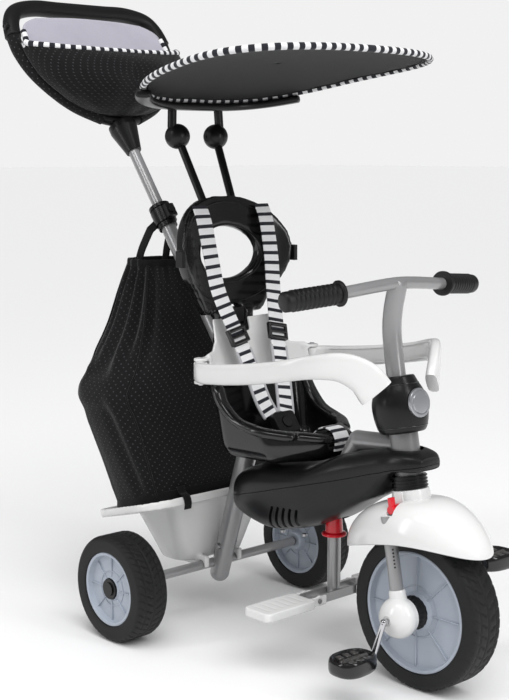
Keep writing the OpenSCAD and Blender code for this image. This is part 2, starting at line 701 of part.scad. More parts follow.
module footrest_bracket() placed() color([0.52, 0.53, 0.55]) {
    for (s = [-1, 1]) difference() {
        translate([post_x + s * (post_r + 1.5), 0, 97]) cube([3, 124, 14], center = true);
        for (y = [-1, 1]) translate([post_x - 20, y * plate_pivot[1], 97]) rotate([0, 90, 0])
            cylinder(r = plate_pin_r, h = 40);
    }
    for (y = [-1, 1]) translate([post_x - 21, y * plate_pivot[1], 97]) rotate([0, 90, 0])
        cylinder(r = plate_pin_r, h = 42);
}

module foot_plate_at_left() {
    translate([post_x, 0, 97]) difference() {
        union() {
            hull() {
                for (x = [-19, 19]) translate([x, 160, -7]) cylinder(r = 9, h = 14, $fn = 32);
                for (x = [-23, 23]) translate([x, 72, -7]) cylinder(r = 5, h = 14, $fn = 32);
            }
            for (s = [-1, 1]) translate([s * 17, 54, 0]) cube([5, 40, 15], center = true);
            for (s = [-1, 1]) translate([s * 17 - 2.5, 50, 0]) rotate([0, 90, 0]) cylinder(r = 9, h = 5);
        }
        translate([-20.5, 50, 0]) rotate([0, 90, 0]) cylinder(r = plate_pin_r + run_gap, h = 41);
        for (y = [84:14:154]) translate([0, y, 7]) cube([34, 4, 2], center = true);
    }
}

module left_foot_plate() placed() color([0.93, 0.93, 0.92]) foot_plate_at_left();
module right_foot_plate() placed() color([0.93, 0.93, 0.92]) mirror([0, 1, 0]) foot_plate_at_left();

module release_collar() placed() color([0.83, 0.07, 0.12]) translate([post_x, 0, 0]) difference() {
    rotate_extrude() polygon([[0, 190], [19, 190], [20, 192], [19, 194], [14, 196], [12.5, 218], [0, 218]]);
    translate([0, 0, 180]) cylinder(r = post_r + run_gap, h = 50);
}

// ---- push pole and handle ----
module lower_push_pole() placed() color([0.55, 0.56, 0.58]) difference() {
    on_pole(socket_from) cylinder(r = lower_pole_r, h = lower_pole_end - socket_from);
    on_pole(socket_from + 12) cylinder(r = lower_pole_bore, h = lower_pole_end);
}

module pole_clamp() placed() color([0.08, 0.08, 0.09]) difference() {
    union() {
        on_pole(clamp_from) cylinder(r = 17, h = clamp_to - clamp_from);
        on_pole(clamp_from + 9) cylinder(r = 19.5, h = 26);
        on_pole(clamp_to - 6) cylinder(r = 19, h = 6);
        on_pole(clamp_button_s) translate([18, 0, 0]) cube([16, 18, 24], center = true);
    }
    on_pole(clamp_from - 1) cylinder(r = lower_pole_r, h = lower_pole_end - clamp_from + 1);
    on_pole(clamp_from) cylinder(r = upper_pole_r + run_gap, h = 200);
    on_pole(clamp_button_s) translate([20, 0, 0]) rotate([0, 90, 0]) cylinder(r = 7, h = 12);
}

module clamp_button() placed() color([0.15, 0.15, 0.16]) on_pole(clamp_button_s)
    translate([22.5, 0, 0]) rotate([0, 90, 0]) cylinder(r = 6.6, h = 6.5);

module upper_push_pole() placed() color([0.58, 0.59, 0.61])
    on_pole(upper_pole_from) difference() {
        cylinder(r = upper_pole_r, h = cone_to - upper_pole_from - 14);
        translate([0, 0, -1]) cylinder(r = upper_pole_r - tube_wall, h = 400);
    }

module handle_cone() placed() color([0.08, 0.08, 0.09]) difference() {
    on_pole(cone_from) rotate_extrude() polygon([[0, 0], [14, 0], [25, cone_to - cone_from - 11],
        [25, cone_to - cone_from], [0, cone_to - cone_from]]);
    on_pole(cone_from - 1) cylinder(r = upper_pole_r, h = cone_to - cone_from - 13);
    both_sides() bar(loop_point(-4, 840.2), loop_point(44, 846), loop_r + 0.9);
}

function loop_point(y, z) = [loop_x(z), y, z];
loop_half = [loop_point(0, 841), loop_point(40, 846), loop_point(86, 866), loop_point(122, 893),
    loop_point(150, 925), loop_point(loop_half_w - 2, 958), loop_point(loop_half_w, 990),
    loop_point(loop_half_w - 12, 1019)];
loop_top = [loop_point(loop_half_w - 36, 1036), loop_point(loop_half_w - 66, bar_z), loop_point(0, bar_z)];

module handle_frame() placed() color([0.08, 0.08, 0.09]) union() {
    arm = smooth([for (p = loop_half) p], 2);
    for (s = [-1, 1]) sweep([for (p = arm) s > 0 ? p : flip_y(p)], circle_points(loop_r, 12), [1, 0, 0]);
}

module handle_grip() placed() color([0.05, 0.05, 0.06]) difference() {
    half = smooth([loop_point(loop_half_w, 985), loop_point(loop_half_w - 7, 1012), loop_point(loop_half_w - 25, 1031),
        loop_top[1], loop_point(50, bar_z), loop_top[2]], 2);
    path = concat(half, [for (i = [len(half) - 2:-1:0]) flip_y(half[i])]);
    sweep(path, circle_points(grip_r, 16), [1, 0, 0]);
    arm = smooth([for (p = loop_half) p], 2);
    for (s = [-1, 1]) sweep([for (p = arm) s > 0 ? p : flip_y(p)], circle_points(loop_r + 0.4, 12), [1, 0, 0]);
}

// each row: z, depth in front of the flat back, half width
pouch_rows = [[856, 30, 62], [868, 48, 90], [888, 66, 120], [914, 84, 146], [944, 90, 160], [974, 84, 166]];
pouch_back = 17;     // the flat back's distance in front of the loop's plane
pouch_tab = [11.8, 17.6];     // the side tabs reach from the loop's tube to the flat back

function pouch_ring(z, d, w, back) = [for (i = [0:35]) let (a = 10 * (i + 0.5), c = cos(a))
    [loop_x(z) + back + (c > 0 ? d * pow(c, 0.8) : 0), -w * spow(sin(a), 0.9), z]];

module pouch_solid(wall, bottom, top) {
    loft([for (i = [0:len(pouch_rows) - 1]) let (r = pouch_rows[i],
            z = r[0] + (i == 0 ? bottom : 0) + (i == len(pouch_rows) - 1 ? top : 0))
        pouch_ring(z, r[1] - 2 * wall, r[2] - 1.5 * wall, pouch_back + wall)]);
}

module handle_pouch() placed() color([0.10, 0.10, 0.11]) {
    difference() {
        pouch_solid(0, 0, 0);
        pouch_solid(3.2, 7, 2);
    }
    loft([for (z = [952, 1016]) let (x = loop_x(z) + pouch_back + 0.2, w = 126)
        [[x, -w, z], [x, w, z], [x + 2.4, w, z], [x + 2.4, -w, z]]]);
    both_sides() loft([for (z = [950, 970]) let (x = loop_x(z) + pouch_tab[0], far = loop_x(z) + pouch_tab[1])
        [[x, -162, z], [x, -153, z], [far, -153, z], [far, -162, z]]]);
}

// ---- canopy ----
module canopy_poles() placed() color([0.10, 0.10, 0.11]) both_sides() difference() {
    union() {
        difference() {
            bar(pole_foot + 3 * (pole_foot - canopy_pivot) / 10, canopy_pivot - 10 * unit(canopy_pivot - pole_foot),
                canopy_pole_r);
            intersection() {
                translate(canopy_pivot) sphere(r = knuckle_r + free_gap);
                translate(canopy_pivot - [40, 0, 40]) cube([80, 40, 80]);
            }
        }
        intersection() {
            translate(canopy_pivot) sphere(r = knuckle_r);
            translate(canopy_pivot + [-40, -19, -40]) cube([80, 19, 80]);
        }
    }
    y_bar(canopy_pivot[0], 10, 80, canopy_pivot[2], canopy_pin_r);
}

bracket_lug = [-56, 50, 862];
function canopy_arm_at(k) = canopy_pivot + [-2, 10, 14] + k * (bracket_lug - canopy_pivot - [-2, 10, 14]);

module canopy_arms() placed() color([0.10, 0.10, 0.11]) both_sides() {
    intersection() {
        translate(canopy_pivot) sphere(r = knuckle_r);
        translate(canopy_pivot + [-40, free_gap, -40]) cube([80, 18.5, 80]);
    }
    bar(canopy_arm_at(0), canopy_arm_at(1), 7.5);
    y_bar(canopy_pivot[0], canopy_pivot[1] - 18, canopy_pivot[1] + 10, canopy_pivot[2], canopy_pin_r - run_gap);
}

// the canopy's outline at k times its full size, and its height above the floor
function canopy_xy(a, k) = let (u = spow(cos(a), 0.7), w = spow(sin(a), 0.7))
    [canopy_mid_x + canopy_half_l * k * u, canopy_half_w * k * w * (1 + 0.16 * k * u)];
function canopy_z(p) = let (u = (p[0] - canopy_mid_x) / canopy_half_l, w = p[1] / canopy_half_w)
    915.5 + 32 * u - 11 * u * u - 4 * w * w + 10 * max(0, 1 - u * u - w * w);

function canopy_ring(k, lift, n) = [for (i = [0:n - 1]) let (p = canopy_xy(-360 * i / n, k))
    [p[0], p[1], canopy_z(p) + lift]];

module canopy_top() placed() color([0.18, 0.18, 0.19])
    loft(concat([for (k = [0.03, 0.35, 0.65, 0.88, 0.98]) canopy_ring(k, -2.5, 40)], [canopy_ring(1, 0, 40)],
        [for (k = [0.98, 0.88, 0.65, 0.35, 0.03]) canopy_ring(k, 2.5, 40)]));

module canopy_bracket() placed() color([0.09, 0.09, 0.10]) difference() {
    path = [for (a = [122:6:238]) let (p = canopy_xy(a, 1)) [p[0], p[1], canopy_z(p) - 11]];
    sweep(path, round_rect(13, 7, 3, 12), [0, 0, 1]);
    both_sides() bar(canopy_arm_at(0), canopy_arm_at(1.12), 7.9);
}

rear_frame_tube();
top_frame_tube();
head_tube();
collar_ring();
rear_axle_tube();
rear_axle();
axle_caps();
storage_tray();
storage_bag();
bag_straps();
upper_body_cover();
lower_body_cover();
frame_screws();
seat_bucket();
seat_back_shell();
headrest();
belt_anchors();
shoulder_straps();
strap_adjusters();
buckle();
crotch_strap();
arm_pivot_pins();
footrest_post();
footrest_bracket();
lower_push_pole();
pole_clamp();
canopy_poles();
headrest_latch();
buckle_button();
release_collar();
clamp_button();
right_arm();
left_arm();
right_foot_plate();
left_foot_plate();
upper_push_pole();
handle_cone();
handle_frame();
handle_grip();
handle_pouch();
canopy_arms();
canopy_bracket();
canopy_top();
handlebar();
handlebar_grips();
steering_cover();
steering_badge();
fork();
front_fender();
hub_covers();
steering_lock_lever();
front_tyre();
front_rim();
crankset();
right_pedal();
left_pedal();
right_rear_tyre();
right_rear_rim();
left_rear_tyre();
left_rear_rim();
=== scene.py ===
"""Children's push tricycle: the moulded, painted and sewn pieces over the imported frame."""
import math

import bmesh
import bpy
from bpy.props import FloatProperty, FloatVectorProperty, IntProperty, PointerProperty
from bpy.types import Operator, Panel, PropertyGroup
from mathutils import Matrix, Vector


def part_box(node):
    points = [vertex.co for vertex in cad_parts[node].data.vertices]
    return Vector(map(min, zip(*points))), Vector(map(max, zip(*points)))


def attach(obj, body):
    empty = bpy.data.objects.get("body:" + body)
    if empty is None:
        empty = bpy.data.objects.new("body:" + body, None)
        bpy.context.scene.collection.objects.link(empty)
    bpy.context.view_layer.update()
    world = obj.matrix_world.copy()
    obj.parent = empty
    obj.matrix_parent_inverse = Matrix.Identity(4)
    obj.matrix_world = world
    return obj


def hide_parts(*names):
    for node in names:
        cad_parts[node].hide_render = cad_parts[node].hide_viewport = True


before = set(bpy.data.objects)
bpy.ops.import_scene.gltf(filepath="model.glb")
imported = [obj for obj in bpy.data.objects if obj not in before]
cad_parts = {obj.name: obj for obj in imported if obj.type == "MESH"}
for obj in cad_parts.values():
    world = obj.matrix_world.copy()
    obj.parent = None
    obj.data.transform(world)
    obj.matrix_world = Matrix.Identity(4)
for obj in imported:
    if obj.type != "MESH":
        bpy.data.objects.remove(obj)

bl_info = {
    "name": "Push Tricycle",
    "version": (1, 0, 0),
    "blender": (4, 5, 0),
    "location": "3D View > Sidebar > Tricycle",
    "description": "Builds the pieces of a children's push tricycle over its packed frame",
    "category": "Object",
}

MM = 0.001
AXLE_X = sum(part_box("rear_axle")[i].x for i in (0, 1)) / 2
FRONT = sum((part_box("front_rim")[i] for i in (0, 1)), Vector()) / 2
LEAN = 10.8


# ---------------------------------------------------------------- sizes and colours
class TrikeSizes(PropertyGroup):
    """Sizes that change the look and not the fit of the pieces."""

    tread_count: IntProperty(name="Tread blocks", description="Slanted grooves round each tyre", default=44,
                             min=12, max=80)
    tread_depth: FloatProperty(name="Tread depth", description="Depth of the slanted grooves",
                               default=0.0015, subtype="DISTANCE", unit="LENGTH")
    rim_ribs: IntProperty(name="Rim ribs", description="Thin radial ribs on each wheel face", default=8,
                          min=3, max=16)
    strap_width: FloatProperty(name="Strap width", description="Width of the harness webbing", default=0.031,
                               subtype="DISTANCE", unit="LENGTH")
    stripe_period: FloatProperty(name="Stripe repeat", description="Length of one light and one dark stripe",
                                 default=0.0165, subtype="DISTANCE", unit="LENGTH")
    dot_spacing: FloatProperty(name="Dot spacing", description="Distance between the dots of the bag fabric",
                               default=0.0125, subtype="DISTANCE", unit="LENGTH")
    piping_radius: FloatProperty(name="Piping radius", description="Radius of the striped piping",
                                 default=0.0052, subtype="DISTANCE", unit="LENGTH")
    cloth_thickness: FloatProperty(name="Cloth thickness", description="Thickness of the sewn cloth",
                                   default=0.0014, subtype="DISTANCE", unit="LENGTH")


class TrikeColours(PropertyGroup):
    """Base colours of the finishes, in linear light."""

    tube: FloatVectorProperty(name="Tubes", description="Satin silver paint", subtype="COLOR",
                              default=(0.30, 0.30, 0.305))
    white: FloatVectorProperty(name="White mouldings", description="Gloss white plastic", subtype="COLOR",
                               default=(0.69, 0.69, 0.685))
    black: FloatVectorProperty(name="Black mouldings", description="Semi-gloss black plastic",
                               subtype="COLOR", default=(0.008, 0.008, 0.0085))
    red: FloatVectorProperty(name="Red levers", description="Gloss red plastic", subtype="COLOR",
                             default=(0.66, 0.008, 0.02))
    rim: FloatVectorProperty(name="Wheel faces", description="Cool light grey plastic", subtype="COLOR",
                             default=(0.37, 0.41, 0.475))
    tyre: FloatVectorProperty(name="Tyres", description="Charcoal foam rubber", subtype="COLOR",
                              default=(0.011, 0.011, 0.0115))
    fabric: FloatVectorProperty(name="Bag fabric", description="Black woven cloth", subtype="COLOR",
                                default=(0.007, 0.007, 0.0078))
    dots: FloatVectorProperty(name="Fabric dots", description="Small woven dots", subtype="COLOR",
                              default=(0.07, 0.07, 0.075))
    lining: FloatVectorProperty(name="Lining", description="Pale lining cloth", subtype="COLOR",
                                default=(0.40, 0.39, 0.45))
    canopy: FloatVectorProperty(name="Canopy cloth", description="Charcoal canopy cloth", subtype="COLOR",
                                default=(0.012, 0.012, 0.013))
    stripe_light: FloatVectorProperty(name="Light stripe", description="Light stripe of webbing and piping",
                                      subtype="COLOR", default=(0.80, 0.80, 0.81))
    stripe_dark: FloatVectorProperty(name="Dark stripe", description="Dark stripe of webbing and piping",
                                     subtype="COLOR", default=(0.008, 0.009, 0.016))
    silver: FloatVectorProperty(name="Badge", description="Silver badge", subtype="COLOR",
                                default=(0.46, 0.47, 0.49))


def sizes():
    return bpy.context.scene.trike_sizes


def colours():
    return bpy.context.scene.trike_colours


# ---------------------------------------------------------------- places and curves
def at(x, y, z):
    """A point given in millimetres from the rear axle's place on the floor."""
    return Vector((x * MM + AXLE_X, y * MM, z * MM))


def steer_frame():
    """Axes of the steering, with Z up its leaning axis and the origin on the front axle."""
    return Matrix.Translation(FRONT) @ Matrix.Rotation(math.radians(-LEAN), 4, "Y")


def signed_power(v, e):
    return math.copysign(abs(v) ** e, v)


def rounded_section(w, h, e, n):
    """Outline of a box with rounded corners, n points anticlockwise."""
    out = []
    for i in range(n):
        a = 2 * math.pi * (i + 0.5) / n
        out.append((w * signed_power(math.cos(a), 2 / e), h * signed_power(math.sin(a), 2 / e)))
    return out


def flow(points, steps):
    """A smooth curve through the points."""
    out = []
    for i in range(len(points) - 1):
        a, b = points[max(i - 1, 0)], points[i]
        c, d = points[i + 1], points[min(i + 2, len(points) - 1)]
        for j in range(steps):
            t = j / steps
            out.append([0.5 * ((2 * q) + (r - p) * t + (2 * p - 5 * q + 4 * r - s) * t * t + (3 * q - p - 3 * r + s) * t ** 3)
                        for p, q, r, s in zip(a, b, c, d)])
    out.append(list(points[-1]))
    return out


def mm_path(points, steps):
    return [at(*p) for p in flow(points, steps)]


def rings_along(path, section, up):
    """Copies of a flat section, in metres, standing across a path."""
    rings = []
    for i, p in enumerate(path):
        t = (path[min(i + 1, len(path) - 1)] - path[max(i - 1, 0)]).normalized()
        side = t.cross(up).normalized()
        top = side.cross(t)
        rings.append([p + side * x + top * y for x, y in section])
    return rings


def circle(r, n):
    return [(r * math.cos(2 * math.pi * i / n), r * math.sin(2 * math.pi * i / n)) for i in range(n)]


def round_ends(path, section, up, depth):
    """Rings along a path whose two ends close in like a worn edge."""
    rings = rings_along(path, section, up)

    def closing(ring, centre, away):
        out = []
        for k in (0.25, 0.6, 0.9):
            shrink = math.sqrt(1 - k * k)
            out.append([centre + (q - centre) * shrink + away * depth * k for q in ring])
        return out

    start = closing(rings[0], path[0], (path[0] - path[1]).normalized())
    end = closing(rings[-1], path[-1], (path[-1] - path[-2]).normalized())
    return start[::-1] + rings + end


# ---------------------------------------------------------------- making meshes
def new_object(name, mesh):
    obj = bpy.data.objects.new(name, mesh)
    bpy.context.scene.collection.objects.link(obj)
    return obj


def skin(name, rings, closed=True, caps=True):
    """A surface through rings of points. Its UV map is in metres: across the ring, then along."""
    n, m = len(rings[0]), len(rings)
    span = n if closed else n - 1
    across = []
    for ring in rings:
        total = [0.0]
        for j in range(span):
            total.append(total[-1] + (ring[(j + 1) % n] - ring[j]).length)
        across.append([s - total[-1] / 2 for s in total])
    along = [0.0]
    for i in range(m - 1):
        along.append(along[-1] + sum((rings[i + 1][j] - rings[i][j]).length for j in range(0, n,
                max(1, n // 8))) / len(range(0, n, max(1, n // 8))))
    faces, uvs = [], []
    for i in range(m - 1):
        for j in range(span):
            k = (j + 1) % n
            faces.append((i * n + j, i * n + k, (i + 1) * n + k, (i + 1) * n + j))
            uvs += [(across[i][j], along[i]), (across[i][j + 1], along[i]),
                    (across[i + 1][j + 1], along[i + 1]), (across[i + 1][j], along[i + 1])]
    if caps:
        for base in (0, (m - 1) * n):
            faces.append(tuple(base + j for j in range(n)))
            uvs += [(0.0, 0.0)] * n
    mesh = bpy.data.meshes.new(name)
    mesh.from_pydata([q[:] for r in rings for q in r], [], faces)
    layer = mesh.uv_layers.new(name="metres")
    for loop, uv in zip(layer.data, uvs):
        loop.uv = uv
    tidy_normals(mesh)
    return new_object(name, mesh)


def tidy_normals(mesh):
    bm = bmesh.new()
    bm.from_mesh(mesh)
    bmesh.ops.remove_doubles(bm, verts=bm.verts, dist=1e-6)
    bmesh.ops.recalc_face_normals(bm, faces=bm.faces)
    bm.to_mesh(mesh)
    bm.free()


def turned(name, place, profile, n=72, shape=None, hollow=False):
    """A turned piece: profile is (distance along Z, radius) in mm, place its axes. shape may vary the radius."""
    rings = []
    profile = profile + profile[:1] if hollow else profile
    for z, r in profile:
        ring = []
        for i in range(n):
            a = 2 * math.pi * i / n
            rr = shape(a, z, r) if shape else r
            ring.append(place @ Vector((rr * math.cos(a) * MM, rr * math.sin(a) * MM, z * MM)))
        rings.append(ring)
    return skin(name, rings, caps=not hollow)


def pointing(origin, direction):
    return Matrix.Translation(origin) @ direction.to_track_quat("Z", "Y").to_matrix().to_4x4()


def apply_modifiers(obj):
    bpy.context.view_layer.update()
    graph = bpy.context.evaluated_depsgraph_get()
    mesh = bpy.data.meshes.new_from_object(obj.evaluated_get(graph))
    obj.modifiers.clear()
    obj.data = mesh
    mesh.name = obj.name
    return obj


def thicken(obj, depth, offset=-1.0):
    mod = obj.modifiers.new("Wall", "SOLIDIFY")
    mod.thickness, mod.offset, mod.use_even_offset = depth, offset, True
    return apply_modifiers(obj)


def cut(obj, *cutters):
    for c in cutters:
        mod = obj.modifiers.new("Cut", "BOOLEAN")
        mod.operation, mod.object, mod.solver = "DIFFERENCE", c, "EXACT"
        apply_modifiers(obj)
        bpy.data.objects.remove(c)
    return obj


def block(name, place, size, bevel=0.0):
    """A bevelled block, size in mm, centred on place."""
    bm = bmesh.new()
    bmesh.ops.create_cube(bm, size=1.0)
    for v in bm.verts:
        v.co = place @ Vector((v.co.x * size[0] * MM, v.co.y * size[1] * MM, v.co.z * size[2] * MM))
    if bevel:
        bmesh.ops.bevel(bm, geom=bm.edges[:] + bm.verts[:], offset=bevel * MM, segments=4, profile=0.5,
                        affect="EDGES")
    mesh = bpy.data.meshes.new(name)
    bm.to_mesh(mesh)
    bm.free()
    tidy_normals(mesh)
    return new_object(name, mesh)


def joined(name, parts):
    """One object from several, keeping their material slots in order."""
    bm = bmesh.new()
    mesh = bpy.data.meshes.new(name)
    for p in parts:
        base = len(mesh.materials)
        for m in p.data.materials:
            mesh.materials.append(m)
        before = len(bm.faces)
        bm.from_mesh(p.data)
        bm.faces.ensure_lookup_table()
        for f in bm.faces[before:]:
            f.material_index += base
    bm.to_mesh(mesh)
    bm.free()
    for p in parts:
        bpy.data.objects.remove(p)
    return new_object(name, mesh)


def softened(name, node, voxel, passes, ratio=1.0):
    """A moulded skin over a frame node, with its edges rounded as a mould leaves them."""
    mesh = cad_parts[node].data.copy()
    mesh.materials.clear()
    bm = bmesh.new()
    bm.from_mesh(mesh)
    bmesh.ops.remove_doubles(bm, verts=bm.verts, dist=1e-5)
    bm.to_mesh(mesh)
    bm.free()
    obj = new_object(name, mesh)
    wrap = obj.modifiers.new("Skin", "REMESH")
    wrap.mode, wrap.voxel_size, wrap.use_smooth_shade = "VOXEL", voxel, True
    ease = obj.modifiers.new("Ease", "SMOOTH")
    ease.factor, ease.iterations = 0.5, passes
    if ratio < 1:
        thin = obj.modifiers.new("Thin", "DECIMATE")
        thin.ratio = ratio
    return apply_modifiers(obj)


def place_piece(obj, body, material, nodes=(), sharp=None):
    """Gives a piece its finish and its body, and hides the nodes that it stands for."""
    if material is not None:
        obj.data.materials.clear()
        obj.data.materials.append(MATERIALS[material])
    obj.data.shade_smooth()
    if sharp:
        obj.data.set_sharp_from_angle(angle=math.radians(sharp))
    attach(obj, body)
    if nodes:
        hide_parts(*nodes)
    return obj


# ---------------------------------------------------------------- node groups and materials
MATERIALS = {}
GROUPS = {}


def group_sockets(tree, ins, outs):
    for name, kind, value in ins:
        s = tree.interface.new_socket(name=name, in_out="INPUT", socket_type=kind)
        s.default_value = value
    for name, kind in outs:
        tree.interface.new_socket(name=name, in_out="OUTPUT", socket_type=kind)


def sums(tree, kind, a, b=None):
    """A math node of two values or sockets."""
    node = tree.nodes.new("ShaderNodeMath")
    node.operation = kind
    for i, v in enumerate((a, b)):
        if v is None:
            continue
        if isinstance(v, (int, float)):
            node.inputs[i].default_value = v
        else:
            tree.links.new(v, node.inputs[i])
    return node.outputs[0]


def blend_colour(tree, factor, a, b, kind="MIX"):
    node = tree.nodes.new("ShaderNodeMix")
    node.data_type, node.blend_type = "RGBA", kind
    for i, v in ((0, factor), (6, a), (7, b)):
        if isinstance(v, (int, float)):
            node.inputs[i].default_value = v
        elif isinstance(v, tuple):
            node.inputs[i].default_value = (*v[:3], 1)
        else:
            tree.links.new(v, node.inputs[i])
    return node.outputs[2]


def make_groups():
    """Shared effects: moulded grain, woven cloth, dots and stripes."""
    if GROUPS:
        return
    col, num = "NodeSocketColor", "NodeSocketFloat"

    tree = bpy.data.node_groups.new("Moulded Grain", "ShaderNodeTree")
    group_sockets(tree, [("Colour", col, (0.5, 0.5, 0.5, 1)), ("Grain Scale", num, 900.0),
                         ("Shade", num, 0.9), ("Roughness", num, 0.4), ("Roughness Spread", num, 0.1)],
                  [("Colour", col), ("Roughness", num), ("Height", num)])
    src, dst = tree.nodes.new("NodeGroupInput"), tree.nodes.new("NodeGroupOutput")
    place = tree.nodes.new("ShaderNodeTexCoord")
    fine, broad = tree.nodes.new("ShaderNodeTexNoise"), tree.nodes.new("ShaderNodeTexNoise")
    broad.inputs["Scale"].default_value = 14.0
    broad.inputs["Detail"].default_value = 5.0
    for t in (fine, broad):
        tree.links.new(place.outputs["Object"], t.inputs["Vector"])
    tree.links.new(src.outputs["Grain Scale"], fine.inputs["Scale"])
    dark = tree.nodes.new("ShaderNodeVectorMath")
    dark.operation = "SCALE"
    tree.links.new(src.outputs["Colour"], dark.inputs[0])
    tree.links.new(src.outputs["Shade"], dark.inputs["Scale"])
    tree.links.new(blend_colour(tree, broad.outputs["Fac"], dark.outputs[0], src.outputs["Colour"]),
                   dst.inputs["Colour"])
    swing = sums(tree, "MULTIPLY", sums(tree, "SUBTRACT", broad.outputs["Fac"], 0.5),
                 src.outputs["Roughness Spread"])
    tree.links.new(sums(tree, "ADD", swing, src.outputs["Roughness"]), dst.inputs["Roughness"])
    tree.links.new(fine.outputs["Fac"], dst.inputs["Height"])
    GROUPS["grain"] = tree

    tree = bpy.data.node_groups.new("Woven Cloth", "ShaderNodeTree")
    group_sockets(tree, [("Colour", col, (0.5, 0.5, 0.5, 1)), ("Threads", num, 1400.0),
                         ("Contrast", num, 0.35)], [("Colour", col), ("Height", num)])
    src, dst = tree.nodes.new("NodeGroupInput"), tree.nodes.new("NodeGroupOutput")
    uv = tree.nodes.new("ShaderNodeUVMap")
    uv.uv_map = "metres"
    parts = tree.nodes.new("ShaderNodeSeparateXYZ")
    tree.links.new(uv.outputs[0], parts.inputs[0])
    warp = sums(tree, "SINE",
                sums(tree, "MULTIPLY", parts.outputs[0],
                     sums(tree, "MULTIPLY", src.outputs["Threads"], 6.2832)))
    weft = sums(tree, "SINE",
                sums(tree, "MULTIPLY", parts.outputs[1],
                     sums(tree, "MULTIPLY", src.outputs["Threads"], 6.2832)))
    cross = sums(tree, "ADD", sums(tree, "MULTIPLY", sums(tree, "MULTIPLY", warp, weft), 0.5), 0.5)
    slub = tree.nodes.new("ShaderNodeTexNoise")
    slub.inputs["Scale"].default_value = 60.0
    tree.links.new(uv.outputs[0], slub.inputs["Vector"])
    shade = sums(tree, "SUBTRACT", 1.0,
                 sums(tree, "MULTIPLY", src.outputs["Contrast"],
                      sums(tree, "ADD", sums(tree, "MULTIPLY", cross, 0.6),
                           sums(tree, "MULTIPLY", slub.outputs["Fac"], 0.4))))
    tint = tree.nodes.new("ShaderNodeVectorMath")
    tint.operation = "SCALE"
    tree.links.new(src.outputs["Colour"], tint.inputs[0])
    tree.links.new(shade, tint.inputs["Scale"])
    tree.links.new(tint.outputs[0], dst.inputs["Colour"])
    tree.links.new(cross, dst.inputs["Height"])
    GROUPS["weave"] = tree

    tree = bpy.data.node_groups.new("Staggered Dots", "ShaderNodeTree")
    group_sockets(tree, [("Spacing", num, 0.012), ("Radius", num, 0.12)], [("Mask", num)])
    src, dst = tree.nodes.new("NodeGroupInput"), tree.nodes.new("NodeGroupOutput")
    uv = tree.nodes.new("ShaderNodeUVMap")
    uv.uv_map = "metres"
    parts = tree.nodes.new("ShaderNodeSeparateXYZ")
    tree.links.new(uv.outputs[0], parts.inputs[0])
    v = sums(tree, "DIVIDE", parts.outputs[1], sums(tree, "MULTIPLY", src.outputs["Spacing"], 0.5))
    row = sums(tree, "FLOOR", v)
    u = sums(tree, "ADD", sums(tree, "DIVIDE", parts.outputs[0], src.outputs["Spacing"]),
             sums(tree, "MULTIPLY", row, 0.5))
    du = sums(tree, "SUBTRACT", sums(tree, "FRACT", u), 0.5)
    dv = sums(tree, "MULTIPLY", sums(tree, "SUBTRACT", sums(tree, "FRACT", v), 0.5), 0.5)
    dist = sums(tree, "SQRT",
                sums(tree, "ADD", sums(tree, "MULTIPLY", du, du), sums(tree, "MULTIPLY", dv, dv)))
    tree.links.new(sums(tree, "LESS_THAN", dist, src.outputs["Radius"]), dst.inputs["Mask"])
    GROUPS["dots"] = tree

    tree = bpy.data.node_groups.new("Cross Stripes", "ShaderNodeTree")
    group_sockets(tree, [("Repeat", num, 0.017), ("Dark Share", num, 0.38)], [("Mask", num)])
    src, dst = tree.nodes.new("NodeGroupInput"), tree.nodes.new("NodeGroupOutput")
    uv = tree.nodes.new("ShaderNodeUVMap")
    uv.uv_map = "metres"
    parts = tree.nodes.new("ShaderNodeSeparateXYZ")
    tree.links.new(uv.outputs[0], parts.inputs[0])
    part = sums(tree, "FRACT", sums(tree, "DIVIDE", parts.outputs[1], src.outputs["Repeat"]))
    tree.links.new(sums(tree, "LESS_THAN", part, src.outputs["Dark Share"]), dst.inputs["Mask"])
    GROUPS["stripes"] = tree


def placed_group(tree, key, **values):
    node = tree.nodes.new("ShaderNodeGroup")
    node.node_tree = GROUPS[key]
    for name, v in values.items():
        socket = node.inputs[name.replace("_", " ")]
        if isinstance(v, bpy.types.NodeSocket):
            tree.links.new(v, socket)
        else:
            socket.default_value = (*v, 1) if isinstance(v, (tuple, list)) or hasattr(v, "__len__") else v
    return node


def blank(name, **fixed):
    mat = bpy.data.materials.new(name)
    mat.use_nodes = True
    shader = mat.node_tree.nodes["Principled BSDF"]
    for k, v in fixed.items():
        shader.inputs[k.replace("_", " ")].default_value = v
    mat.diffuse_color = (0.5, 0.5, 0.5, 1)
    return mat, mat.node_tree, shader


def bump_from(tree, shader, height, strength, distance):
    bump = tree.nodes.new("ShaderNodeBump")
    bump.inputs["Strength"].default_value = strength
    bump.inputs["Distance"].default_value = distance
    tree.links.new(height, bump.inputs["Height"])
    tree.links.new(bump.outputs[0], shader.inputs["Normal"])


def moulded(name, colour, rough, spread=0.1, grain=900.0, strength=0.08, depth=0.0002, shade=0.9, **fixed):
    """Plastic, paint, metal or rubber with grain and uneven gloss."""
    mat, tree, shader = blank(name, **fixed)
    g = placed_group(tree, "grain", Colour=tuple(colour), Grain_Scale=grain, Shade=shade, Roughness=rough,
                     Roughness_Spread=spread)
    tree.links.new(g.outputs["Colour"], shader.inputs["Base Color"])
    tree.links.new(g.outputs["Roughness"], shader.inputs["Roughness"])
    bump_from(tree, shader, g.outputs["Height"], strength, depth)
    MATERIALS[name] = mat
    return mat


